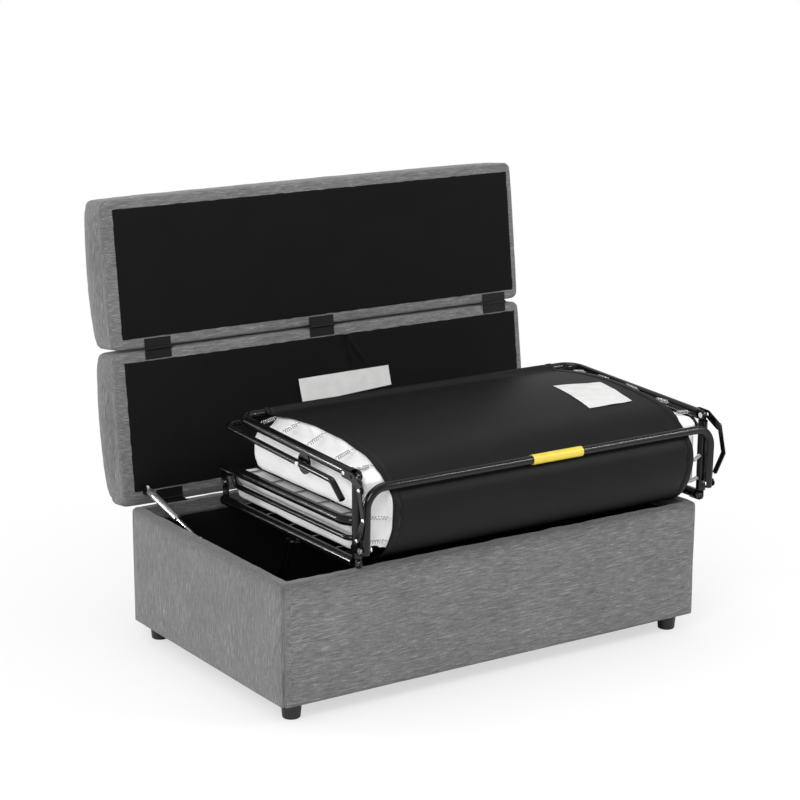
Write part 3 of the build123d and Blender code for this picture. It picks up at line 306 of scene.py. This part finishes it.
finish = {
    wood: "front_board rear_board side_boards floor_board lid_back_core lid_front_core",
    paint: "base_rail_left base_rail_right base_cross_tubes head_frame head_leg knee_rails tail_frame "
           "tail_leg front_leg front_leg_links prop_leg_left prop_leg_right",
    rivet_steel: "base_rivets knee_rivets tail_rivets",
    wire: "base_springs head_springs knee_springs tail_springs",
    hinge_black: "rear_hinge_box_leaves rear_hinge_lid_leaves fold_hinge_back_leaves "
                 "fold_hinge_front_leaves strut_box_brackets strut_lid_brackets",
    bright: "rear_hinge_pins fold_hinge_pins foot_bolts foot_tee_nuts strut_rod_left strut_rod_right",
    silver: "strut_cylinder_left strut_cylinder_right",
    foot_black: "feet",
    yellow: "front_leg_sleeve",
}
for mat, names in finish.items():
    for name in names.split():
        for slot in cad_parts[name].material_slots:
            slot.material = mat


# ---------------------------------------------------------------- mesh helpers
def make(name, verts, faces, mats, smooth=True, merge=0.0):
    """An object of these faces; points nearer than merge become one."""
    mesh = bpy.data.meshes.new(name)
    mesh.from_pydata([tuple(v) for v in verts], [], faces)
    obj = bpy.data.objects.new(name, mesh)
    bpy.context.collection.objects.link(obj)
    for mat in mats:
        mesh.materials.append(mat)
    bm = bmesh.new()
    bm.from_mesh(mesh)
    if merge:
        bmesh.ops.remove_doubles(bm, verts=bm.verts, dist=merge)
    bmesh.ops.recalc_face_normals(bm, faces=bm.faces)
    bm.to_mesh(mesh)
    bm.free()
    for face in mesh.polygons:
        face.use_smooth = smooth
    return obj


def grid_faces(rows, columns, wrap_rows=False, wrap_columns=False):
    """Quads over a grid of points that is stored row by row."""
    faces = []
    for i in range(rows if wrap_rows else rows - 1):
        for j in range(columns if wrap_columns else columns - 1):
            a, b = i * columns + j, i * columns + (j + 1) % columns
            c, d = ((i + 1) % rows) * columns + (j + 1) % columns, ((i + 1) % rows) * columns + j
            faces.append((a, b, c, d))
    return faces


def ripple(point, scale, seed=0.0):
    """Smooth noise from -1 to 1 at a point in metres."""
    return noise.noise(Vector((point.x * scale, point.y * scale, point.z * scale + seed)))


def steps(low, high, size):
    """Evenly spaced values from low to high, about size apart."""
    count = max(1, round(abs(high - low) / size))
    return [low + (high - low) * i / count for i in range(count + 1)]


def ring(half_w, half_h, radius, step, corner_steps):
    """Stations round a rounded rectangle: (kind, side, share), to be placed at any inset."""
    stations = []
    for side in range(4):
        length = 2 * ((half_w if side % 2 == 0 else half_h) - radius)
        count = max(2, round(length / step))
        stations += [("side", side, i / count) for i in range(count)]
        stations += [("corner", side, i / corner_steps) for i in range(corner_steps)]
    return stations


def place(station, half_w, half_h, radius):
    """A station's point and normal: side 0 is the low one, then right, high and left."""
    kind, side, share = station
    w, h, r = half_w - radius, half_h - radius, radius
    corners = [(-w, -h), (w, -h), (w, h), (-w, h)]
    if kind == "side":
        a, b = corners[side], corners[(side + 1) % 4]
        normal = [(0, -1), (1, 0), (0, 1), (-1, 0)][side]
        return (a[0] + (b[0] - a[0]) * share + normal[0] * r,
                a[1] + (b[1] - a[1]) * share + normal[1] * r, normal)
    cx, cy = corners[(side + 1) % 4]
    angle = math.radians(-90 + 90 * side + 90 * share)
    normal = (math.cos(angle), math.sin(angle))
    return (cx + normal[0] * r, cy + normal[1] * r, normal)


# ---------------------------------------------------------------- box upholstery
def box_wrap():
    """The padded cover: pillowed walls, a crushed soft rim, seams at the corners."""
    half_w, half_d = BOX_HALF
    outer, inner = 9, 3         # radii of the rim's outer and inner edge
    hidden = 4                  # last points of the profile, which lie under the cover
    flat_puff, full_puff = 1.5, 6.5             # how far the rear wall and the other walls are padded out
    groove_depth, seam_depth = 4.2, 0.8         # at a corner's seam, and where the wall meets the corner
    # (distance in from the outer face, height): up the wall, over the rim, down inside and back
    profile = [(0.0, z) for z in steps(BOTTOM, RIM - 10, 8)]
    profile += [(outer - outer * math.cos(a), RIM - outer + outer * math.sin(a))
                for a in (0.35, 0.7, 1.05, 1.4)]
    profile += [(d, RIM) for d in (12, 16, 19)]
    profile += [(WALL - inner + inner * math.sin(a), RIM - inner + inner * math.cos(a))
                for a in (0.4, 0.8, 1.2, 1.57)]
    profile += [(WALL, z) for z in (296, 288, 280, 273)]
    profile += [(22.8, 273), (22.8, 303), (8.5, 303), (8.5, BOTTOM)]
    stations = ring(half_w, half_d, BOX_CORNER, step=9, corner_steps=8)
    verts = []
    for station in stations:
        kind, side, share = station
        ox, oy, normal = place(station, half_w, half_d, BOX_CORNER)
        ix = max(WALL - half_w, min(half_w - WALL, ox))
        iy = max(WALL - half_d, min(half_d - WALL, oy))
        along = seam = groove = 0.0
        if kind == "side":
            length = 2 * (BOX_HALF[side % 2] - BOX_CORNER)
            along = math.sin(math.pi * share)
            seam = math.exp(-(min(share, 1 - share) * length / 5) ** 2)
        else:
            groove = math.exp(-((share - 0.5) / 0.09) ** 2)
        full = flat_puff if side == 2 else full_puff
        for index, (d, z) in enumerate(profile):
            t = d / WALL
            point = P(ox + (ix - ox) * t, oy + (iy - oy) * t, z)
            if index < len(profile) - hidden:
                up = math.sin(math.pi * min(1, max(0, (z - BOTTOM) / (RIM - BOTTOM))))
                puff = full * (along ** 0.35) * up ** 0.6 * (1 if d == 0 else 0)
                puff += 1.1 * ripple(point, 9) * (1 if d < 1 else 0.4)
                rim = math.exp(-((z - (RIM - inner)) / 12) ** 2)
                puff += rim * (1.5 * ripple(point, 34, 3) + 0.9 * ripple(point, 80, 7))
                puff -= groove_depth * groove + seam_depth * seam
                point += Vector((normal[0], normal[1], 0)) * puff / 1000
                if z > 290:
                    point.z += rim * (1.6 * ripple(point, 26, 11) - 0.6) / 1000
            verts.append(point)
    columns = len(profile)
    faces = grid_faces(len(stations), columns, wrap_rows=True, wrap_columns=True)
    obj = make("box_upholstery", verts, faces, [weave_x, weave_z])
    # the yarns run upright on the left and right walls
    upright = {i for i, (kind, side, share) in enumerate(stations)
               if (kind == "side" and side % 2 == 1) or
               (kind == "corner" and ((side % 2 == 0) == (share >= 0.5)))}
    for face in obj.data.polygons:
        rows = [index // columns for index in face.vertices]
        row = min(rows) if max(rows) - min(rows) < 2 else max(rows)     # the last row meets the first
        face.material_index = 1 if row in upright else 0
    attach(obj, "box")
    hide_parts("front_cover", "rear_cover", "left_cover", "right_cover")


def box_lining():
    """Loose black liner: floor and four walls with slack wrinkles."""
    x, y = BOX_HALF[0] - WALL, BOX_HALF[1] - WALL
    low, high = 60.6, 272.5     # on the floor board, and at the liner's upper edge
    xs, ys, zs = steps(-x, x, 15), steps(-y, y, 15), steps(low, high, 12)
    verts, faces = [], []

    def panel(point_at, us, vs):
        start = len(verts)
        for u in us:
            for v in vs:
                verts.append(point_at(u, v))
        for a, b, c, d in grid_faces(len(us), len(vs)):
            faces.append((start + a, start + b, start + c, start + d))

    def slack(u, v):
        edge = min(1, (v - low) / 40, (high - v) / 25) if low < v < high else 0
        return edge * (1.2 + 1.0 * noise.noise(Vector((u * 0.012, v * 0.02, 5.0))))

    panel(lambda u, v: P(u, -y + slack(u, v), v), xs, zs)
    panel(lambda u, v: P(u, y - slack(u, v), v), xs, zs)
    panel(lambda u, v: P(-x + slack(u, v), u, v), ys, zs)
    panel(lambda u, v: P(x - slack(u, v), u, v), ys, zs)
    panel(lambda u, v: P(u, v, low), xs, ys)
    obj = make("box_lining", verts, faces, [lining], merge=0.0004)
    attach(obj, "box")
    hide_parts("box_liner")


def flat_sheet(name, node, mat, body, sag):
    """A level sheet in a CAD sheet's place, sagging a little in the middle."""
    columns, rows = 60, 36
    low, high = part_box(node)
    xs = [low.x + (high.x - low.x) * i / columns for i in range(columns + 1)]
    ys = [low.y + (high.y - low.y) * i / rows for i in range(rows + 1)]
    verts = []
    for i, x in enumerate(xs):
        for j, y in enumerate(ys):
            drop = math.sin(math.pi * i / columns) * math.sin(math.pi * j / rows) * sag
            wave = 0.0003 * noise.noise(Vector((x * 20, y * 20, 0)))
            verts.append(Vector((x, y, (low.z + high.z) / 2 - drop + wave)))
    obj = make(name, verts, grid_faces(columns + 1, rows + 1), [mat])
    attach(obj, body)
    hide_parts(node)


box_wrap()
box_lining()
flat_sheet("under_cloth", "bottom_cloth", lining, "box",
           sag=0.0004)
flat_sheet("base_deck_cloth", "base_deck", plain_deck, "bed_base",
           sag=0.0006)
flat_sheet("head_deck_cloth", "head_deck", plain_deck, "bed_head",
           sag=0.0006)


# ---------------------------------------------------------------- lid halves
def on_lid_depth(point):
    """How far a point lies behind the lid's inner face, in millimetres."""
    y, z = point.y * 1000 - SHIFT[1] - HINGE[0], point.z * 1000 - HINGE[1]
    return y * math.cos(LEAN) - z * math.sin(LEAN)


def swell(obj, held, pressure, cap):
    """Cloth blown out by the padding inside: held points stay, none moves further than cap."""
    frames = 20
    group = obj.vertex_groups.new(name="held")
    group.add(list(held), 1.0, "REPLACE")
    cloth = obj.modifiers.new("cloth", "CLOTH")
    cloth.settings.quality = 4
    cloth.settings.mass = 0.3
    cloth.settings.vertex_group_mass = "held"
    cloth.settings.use_pressure = True
    cloth.settings.uniform_pressure_force = pressure
    cloth.settings.effector_weights.gravity = 0
    cloth.collision_settings.use_collision = False
    cloth.point_cache.frame_start = 1
    cloth.point_cache.frame_end = frames
    for number in range(1, frames + 1):
        bpy.context.scene.frame_set(number)
    graph = bpy.context.evaluated_depsgraph_get()
    blown = [v.co.copy() for v in obj.evaluated_get(graph).data.vertices]
    obj.modifiers.remove(cloth)
    obj.vertex_groups.clear()
    # only the outward share is kept, so that the cover never shrinks off its board
    normals = [v.normal.copy() for v in obj.data.vertices]
    for v, normal, target in zip(obj.data.vertices, normals, blown):
        v.co += normal * min(cap, max(0.0, (target - v.co).dot(normal)))
    bpy.context.scene.frame_set(1)


def lid_cushion(name, node, body, z0):
    """One padded lid half: flat border inside, soft ends, crowned outer face, boxed seam."""
    half_w, half_h = LID_HALF
    mid = z0 + half_h
    is_back = z0 == LID_BACK_START
    flat, border = 7, 10        # points of the profile under the lining, and those up to the border's edge
    thick, board_edge = 92, 20  # depth of the outer face, and how far back the core board holds the cover
    side_push, low_push, end_push = 3.0, 12.0, 10.0     # of all sides, the back half's lower side, the ends
    seam_depth, seam_at = 1.2, 13
    crown_height = 7.0          # of the outer face
    # (distance in from the edge, depth behind the inner face): out over the border, back, and in behind
    profile = [(d, -0.1) for d in (169, 140, 110, 80, 50, 35, 26)]
    profile += [(20, 0.0), (14, 0.3), (9, 0.8)]
    profile += [(7 - 7 * math.sin(a), 7.5 - 7 * math.cos(a)) for a in (0.3, 0.7, 1.1, 1.5)]
    profile += [(0, y) for y in steps(14, 70, 7)]
    profile += [(19 - 19 * math.cos(a), 70 + 19 * math.sin(a)) for a in [0.14 * i for i in range(1, 12)]]
    profile += [(d, 89.2) for d in (24, 32, 44, 58, 72, 88, 106, 126, 148, 169)]
    stations = ring(half_w, half_h, LID_CORNER, step=9, corner_steps=7)
    verts = []
    for station in stations:
        kind, side, share = station
        span = math.sin(math.pi * share) if kind == "side" else 0.0
        for index, (d, y) in enumerate(profile):
            # the innermost ring is nearly closed, and make() merges its two sides
            reach = max(half_h - d, 0.01) + (0.25 if d > 168 else 0)
            radius = min(max(LID_CORNER - d, 0.5), max(half_h - d, 0.4))
            x, z, normal = place(station, half_w - d, reach, radius)
            push = 0.0
            if index >= border:
                level = max(0.0, math.sin(math.pi * min(1, y / thick)))
                if d < 8:
                    push = side_push * span ** 0.5 * level - 1.0 * (1 - span ** 0.4)
                    # the back half's lower side comes down to the box's rim
                    push += low_push * max(0.0, -normal[1]) * min(1, max(0, (y - 8) / 10)) * (y < 60) * is_back
                push -= seam_depth * math.exp(-((y - seam_at) / 3.0) ** 2)
                full = math.sin(math.pi * min(1.0, max(0.0, (y - board_edge) / (thick - board_edge)))) ** 0.6
                push += end_push * abs(normal[0]) * span ** 0.5 * full * max(0.0, 1 - d / 19)
            crown = 0.0
            if y > 80:
                crown = crown_height * (1 - ((half_h - min(d, half_h)) / half_h) ** 2.2)
                crown *= 0.75 + 0.25 * (1 - min(1, abs(x) / half_w) ** 3)
            point = on_lid(x + normal[0] * push, y + crown, mid + z + normal[1] * push)
            if index >= flat:
                lump = 1.0 * ripple(point, 10, 2) + 0.45 * ripple(point, 42, 9)
                if index < border:
                    direction = Vector((0, -0.35, 0))
                elif d < 30:
                    direction = Vector((normal[0], 0.4, normal[1]))
                else:
                    direction = Vector((0, 1, 0.12))
                point += direction * lump / 1000
            verts.append(point)
    faces = grid_faces(len(stations), len(profile), wrap_rows=True)
    obj = make(name, verts, faces, [weave_x, weave_z], merge=0.0009)
    on_board = {v.index for v in obj.data.vertices if on_lid_depth(v.co) < board_edge}
    swell(obj, on_board, pressure=4.0, cap=0.006)
    for face in obj.data.polygons:      # the yarns run upright on the two ends
        face.material_index = 1 if abs(face.normal.x) > 0.75 else 0
    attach(obj, body)
    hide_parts(node)


def lid_lining(name, node, body, z0, seed, folds=()):
    """Stapled black lining, drawn tight, with pulls running in from its edge.

    A fold is (x at the lining's upper edge, sideways run per length down from it, height).
    """
    left, right, low, high = -534.0, 547.0, z0 + 23.0, z0 + 315.0
    xs, zs = steps(left, right, 7), steps(low, high, 6)
    fold_width, fold_end = 4.5, 206         # a fold's own width, and how far above the lower edge it ends
    if folds:       # finer columns where the folds are
        xs = sorted([x for x in xs if not 30 < x < 138] + [32 + 2 * i for i in range(53)])
    verts = []
    for x in xs:
        for z in zs:
            side = min(x - left, right - x)
            edge = min(side, z - low, high - z)
            stapled = edge < 0.01
            fade = math.exp(-edge / 16)
            along = x if min(z - low, high - z) < side else z
            pull = fade * 1.1 * noise.noise(Vector((along * 0.07, seed, edge * 0.01)))
            soft = 0.9 * noise.noise(Vector((x * 0.006, z * 0.012, seed))) * (1 - fade)
            fold = 0.0
            for top, run, tall in folds:
                off = x - top - run * (high - z)
                fold += tall * math.exp(-(off / fold_width) ** 2) * min(1, max(0, (z - low - fold_end) / 30))
            inset = 1.5 * noise.noise(Vector((along * 0.045, seed, 4.0))) if stapled else 0
            sx = x - inset * (1 if x > 0 else -1) * (side < 1)
            sz = z + (inset if z < low + 1 else (-inset if z > high - 1 else 0))
            verts.append(on_lid(sx, -1.0 - pull * 0.5 - soft - fold + (0.6 if stapled else 0), sz))
    obj = make(name, verts, grid_faces(len(xs), len(zs)), [lining])
    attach(obj, body)
    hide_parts(node)


lid_cushion("lid_back_cushion", "lid_back_pad", "lid_back", LID_BACK_START)
lid_cushion("lid_front_cushion", "lid_front_pad", "lid_front", LID_FRONT_START)
lid_lining("lid_back_lining", "lid_back_dust_cover", "lid_back", LID_BACK_START, seed=3.0,
           folds=[(49, 0.19, 6.0), (50, 0.68, 5.0), (47, 0.0, 3.0)])
lid_lining("lid_front_lining", "lid_front_dust_cover", "lid_front", LID_FRONT_START, seed=1.0)


# ---------------------------------------------------------------- bed: deck cloth and mattress
# points of the folded bed's side view, (y, z), up its front and back over its top
FOOT, SHOULDER, SPLIT, BROW = (-328, 336.3), (-358, 452.3), (-323, 486.3), (-245, 526.3)
REAR = (154.0, 522.8)
TAIL_TUBE = (166.6, 524.8, 12.6)    # y and z of the tail's end tube, and the radius of cloth round it


def arc(points, count):
    """Points along the circle through three points of the side view."""
    (ax, ay), (bx, by), (cx, cy) = points
    d = 2 * (ax * (by - cy) + bx * (cy - ay) + cx * (ay - by))
    a2, b2, c2 = ax * ax + ay * ay, bx * bx + by * by, cx * cx + cy * cy
    x = (a2 * (by - cy) + b2 * (cy - ay) + c2 * (ay - by)) / d
    y = (a2 * (cx - bx) + b2 * (ax - cx) + c2 * (bx - ax)) / d
    r = math.hypot(ax - x, ay - y)
    t0, t1 = math.atan2(ay - y, ax - x), math.atan2(cy - y, cx - x)
    span = (t1 - t0 + math.pi) % (2 * math.pi) - math.pi
    return [(x + r * math.cos(t0 + span * i / count), y + r * math.sin(t0 + span * i / count))
            for i in range(count + 1)]


def bow(start, end, rise):
    """Three points of a shallow arc between two points."""
    (y0, z0), (y1, z1) = start, end
    n = math.hypot(y1 - y0, z1 - z0)
    return [start, ((y0 + y1) / 2 + rise * (z0 - z1) / n, (z0 + z1) / 2 + rise * (y1 - y0) / n), end]


def side_view():
    """The deck cloth's line: from under the front foam, up, over the top and round the end tube."""
    line = [(-284, 309), (-297, 311.5), (-311, 318), (-321.5, 327)]     # under the foam and up to its foot
    line += arc(bow(SHOULDER, FOOT, rise=-14)[::-1], 18)
    line += arc(bow(SHOULDER, SPLIT, rise=3), 8)[1:]
    line += arc(bow(SPLIT, BROW, rise=7), 10)[1:]
    line += arc(bow(BROW, REAR, rise=19), 40)[1:]
    y, z, r = TAIL_TUBE
    line += [(y + r * math.cos(a), z + r * math.sin(a)) for a in (2.2, 1.9, 1.6, 1.2, 0.8, 0.4, 0, -0.5, -1.0)]
    for _ in range(3):      # rounds the bends where two arcs meet
        line = [line[0]] + [((a[0] + 2 * b[0] + c[0]) / 4, (a[1] + 2 * b[1] + c[1]) / 4)
                            for a, b, c in zip(line, line[1:], line[2:])] + [line[-1]]
    return line


def bed_cloth():
    """Deck cloth over the tail and down the front, scalloped between its springs."""
    line = side_view()
    half = 404.5
    groove, hem = 382, 387.5            # distances from the middle where the sewn hem begins and rises
    scallop_depth, straight_from = 3.0, 150     # beyond this y, at the end tube, the edge is straight
    xs = sorted(steps(-half, half, 9) + [-388.5, -387, -383, -381.5, 381.5, 383, 387, 388.5])
    top_springs, front_springs = [95, -1, -106, -216, -288], (415, 362)     # y on top, z in front
    verts = []
    for x in xs:
        edge = abs(x) / half
        for index, (y, z) in enumerate(line):
            a, b = line[max(0, index - 1)], line[min(len(line) - 1, index + 1)]
            n = math.hypot(b[0] - a[0], b[1] - a[1])
            normal = (-(b[1] - a[1]) / n, (b[0] - a[0]) / n)
            near = min(abs(y - p) for p in top_springs) if z > 500 else min(abs(z - p) for p in front_springs)
            scallop = scallop_depth * min(1, near / 45) ** 1.5 * (edge > 0.995)
            if y > straight_from:
                scallop = scallop_depth * (edge > 0.995)
            dip = -0.5 * edge ** 8 + 0.25 * noise.noise(Vector((x * 0.01, y * 0.02, z * 0.02)))
            dip += 0.9 * (abs(x) > hem) - 0.8 * (groove < abs(x) < hem)
            sx = x - scallop * (1 if x > 0 else -1)
            verts.append(P(BED + sx, y + normal[0] * dip, z + normal[1] * dip))
    obj = make("bed_deck_cloth", verts, grid_faces(len(xs), len(line)), [deck_cloth])
    solid = obj.modifiers.new("thickness", "SOLIDIFY")
    solid.thickness = 0.0016
    solid.offset = 0
    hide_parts("tail_deck", "knee_deck")
    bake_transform(obj)


def foam(name, node, body, seed, puff, smooth):
    """Mattress layer: the CAD layer remeshed, with its ends swollen and its faces loosened."""
    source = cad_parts[node]
    obj = source.copy()
    obj.data = source.data.copy()
    obj.name = name
    obj.data.name = name
    obj.parent = None
    bpy.context.collection.objects.link(obj)
    obj.modifiers.clear()
    remesh = obj.modifiers.new("remesh", "REMESH")
    remesh.mode = "VOXEL"
    remesh.voxel_size = 0.006
    smoothing = obj.modifiers.new("smooth", "SMOOTH")
    smoothing.iterations = smooth
    smoothing.factor = 0.5
    graph = bpy.context.evaluated_depsgraph_get()
    mesh = bpy.data.meshes.new_from_object(obj.evaluated_get(graph))
    obj.modifiers.clear()
    obj.data = mesh
    middle = (BED + SHIFT[0]) / 1000
    end_from, end_over = 0.40, 0.045        # from the middle to where the swelling begins, and its length
    moves = []
    for v in mesh.vertices:
        end = min(1, max(0, (abs(v.co.x - middle) - end_from) / end_over))
        lump = 0.0014 * ripple(v.co, 16, seed) + 0.0006 * ripple(v.co, 50, seed)
        side = abs(v.normal.x)
        moves.append(v.normal * (lump * (0.3 + 0.7 * side) + puff * side * end))
    for v, move in zip(mesh.vertices, moves):
        v.co += move
    mesh.materials.clear()
    mesh.materials.append(white)
    for face in mesh.polygons:
        face.use_smooth = True
        face.material_index = 0
    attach(obj, body)
    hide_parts(node)


bed_cloth()
foam("tail_cushion", "tail_mattress", "bed_tail", seed=1.0, puff=0.004, smooth=14)
foam("knee_cushion", "knee_mattress", "bed_knee", seed=2.0, puff=0.001, smooth=5)
foam("head_cushion", "head_mattress", "bed_head", seed=3.0, puff=0.003, smooth=6)
foam("base_cushion", "base_mattress", "bed_base", seed=4.0, puff=0.003, smooth=6)


# ---------------------------------------------------------------- rivet heads on the plates and links
def rivet_heads(name, body, places, out, radius):
    """Domed rivet heads, out from the bed's middle on both sides, at points of its side view."""
    height, levels, count = 2.6, 5, 16
    verts, faces = [], []
    for side in (-1, 1):
        for y, z in places:
            first = len(verts)
            for level in range(levels + 1):
                tilt = level / levels * math.pi / 2
                r = radius * math.cos(tilt)
                for step in range(count):
                    turn = 2 * math.pi * step / count
                    verts.append(P(BED + side * (out + height * math.sin(tilt)),
                                   y + r * math.cos(turn), z + r * math.sin(turn)))
            for level in range(levels):
                for step in range(count):
                    a, b = first + level * count + step, first + level * count + (step + 1) % count
                    faces.append((a, b, b + count, a + count))
    obj = make(name, verts, faces, [rivet_steel], merge=0.00002)
    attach(obj, body)


links = [(-347, 376.3), (-356, 485.3), (-372, 425.3)]
rivet_heads("link_rivet_heads", "front_leg", links, out=484.9, radius=4.6)
rivet_heads("bracket_rivet_heads", "bed_tail", [(-290, 506.5)], out=480.2, radius=5.0)


# ---------------------------------------------------------------- blank labels
def lid_label():
    """A blank label on the lid's lining, a little curled, between four corners (x, height)."""
    a, b, c, d = [on_lid(x, -1.2, (z - HINGE[1]) / math.cos(LEAN))
                  for x, z in ((-81, 476), (169, 490), (163, 538), (-89, 536))]
    lift, bend = 0.0022, 0.002
    columns, rows = 24, 8
    normal = ((b - a).cross(d - a)).normalized()
    verts = []
    for i in range(columns + 1):
        for j in range(rows + 1):
            s, t = i / columns, j / rows
            point = (a * (1 - s) + b * s) * (1 - t) + (d * (1 - s) + c * s) * t
            curl = lift + bend * (math.sin(s * 7 + 1) * 0.4 + (t - 0.3) ** 2) + 0.0003 * math.sin(s * 19)
            curl += 0.0006 * max(0, ripple(point, 30, 5))
            verts.append(point + normal * curl)
    obj = make("lid_label", verts, grid_faces(columns + 1, rows + 1), [label_white])
    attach(obj, "lid_back")


def deck_label():
    """A blank label lying on the deck cloth, lightly creased, between four corners (x, y)."""
    (ax, ay), (bx, by), (cx, cy), (dx, dy) = (322, -217), (443, -218), (466, -73), (350, -45)
    cells = 20
    line = side_view()
    top = [(a, b) for a, b in zip(line, line[1:]) if a[1] > 505]

    def on_deck(x, y):
        for (y0, z0), (y1, z1) in top:
            if y0 <= y <= y1:
                return P(x, y, z0 + (z1 - z0) * (y - y0) / (y1 - y0))

    verts = []
    for i in range(cells + 1):
        for j in range(cells + 1):
            s, t = i / cells, j / cells
            x = (ax * (1 - s) + bx * s) * (1 - t) + (dx * (1 - s) + cx * s) * t
            y = (ay * (1 - s) + by * s) * (1 - t) + (dy * (1 - s) + cy * s) * t
            point = on_deck(x, y)
            point.z += 0.0018 + 0.0006 * math.sin(s * 6) * t + 0.0016 * max(0, ripple(point, 34, 8))
            verts.append(point)
    obj = make("deck_label", verts, grid_faces(cells + 1, cells + 1), [label_white])
    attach(obj, "bed_tail")


lid_label()
deck_label()


# ---------------------------------------------------------------- floor and light
def floor():
    """A pale floor that keeps the shadow near the part and is plain white to the camera further out."""
    mat, tree, shader = nodes_of("pale_floor")
    shader.inputs["Base Color"].default_value = (0.86, 0.86, 0.86, 1)
    shader.inputs["Roughness"].default_value = 0.9
    shader.inputs["Specular IOR Level"].default_value = 0.1
    glow = add(tree, "ShaderNodeEmission")
    glow.inputs["Color"].default_value = (1, 1, 1, 1)
    path = add(tree, "ShaderNodeLightPath")
    coord = add(tree, "ShaderNodeTexCoord")
    reach = add(tree, "ShaderNodeVectorMath", operation="LENGTH")
    tree.links.new(coord.outputs["Object"], reach.inputs[0])
    away = add(tree, "ShaderNodeMapRange", interpolation_type="SMOOTHSTEP")
    for socket, value in (("From Min", 0.5), ("From Max", 1.5), ("To Min", 0.62), ("To Max", 1.0)):
        away.inputs[socket].default_value = value
    tree.links.new(reach.outputs["Value"], away.inputs["Value"])
    share = maths(tree, "MULTIPLY", path.outputs["Is Camera Ray"], away.outputs["Result"])
    mix = add(tree, "ShaderNodeMixShader")
    tree.links.new(share, mix.inputs[0])
    tree.links.new(shader.outputs[0], mix.inputs[1])
    tree.links.new(glow.outputs[0], mix.inputs[2])
    tree.links.new(mix.outputs[0], tree.nodes["Material Output"].inputs["Surface"])
    half = 30
    corners = [(-half, -half, 0), (half, -half, 0), (half, half, 0), (-half, half, 0)]
    obj = make("floor", corners, [(0, 1, 2, 3)], [mat], smooth=False)


def lamp(name, place, target, size, power):
    """A rectangular lamp at a place, turned to a target, all in metres and watts."""
    data = bpy.data.lights.new(name, "AREA")
    data.shape = "RECTANGLE"
    data.size, data.size_y = size
    data.energy = power
    obj = bpy.data.objects.new(name, data)
    obj.location = place
    obj.rotation_euler = (Vector(target) - Vector(place)).to_track_quat("-Z", "Y").to_euler()
    bpy.context.collection.objects.link(obj)


def studio(light, seen):
    """Even light of one strength, which the camera and transmission rays see at another."""
    world = bpy.data.worlds.new("studio")
    bpy.context.scene.world = world
    world.use_nodes = True
    tree = world.node_tree
    back = tree.nodes["Background"]
    back.inputs["Color"].default_value = (1, 1, 1, 1)
    path = add(tree, "ShaderNodeLightPath")
    rays = maths(tree, "MAXIMUM", path.outputs["Is Camera Ray"], path.outputs["Is Transmission Ray"])
    strength = maths(tree, "ADD", maths(tree, "MULTIPLY", rays, seen - light), light)
    tree.links.new(strength, back.inputs["Strength"])


floor()
lamp("key", place=(-3.0, -2.6, 2.6), target=(0, 0, 0.4), size=(2.2, 2.2), power=95)
lamp("fill", place=(3.2, -3.0, 2.2), target=(0, 0, 0.4), size=(2.4, 2.0), power=32)
lamp("top", place=(0.0, 0.4, 4.0), target=(0, 0, 0.4), size=(2.6, 1.6), power=34)
lamp("strip_left", place=(-3.4, 3.5, 1.0), target=(-0.4, 0, 0.45), size=(0.2, 1.2), power=70)
lamp("strip_right", place=(2.7, -2.7, 3.0), target=(0.1, 0, 0.5), size=(1.6, 0.14), power=42)
studio(light=0.64, seen=1.0)

bpy.context.scene.view_settings.view_transform = "Standard"
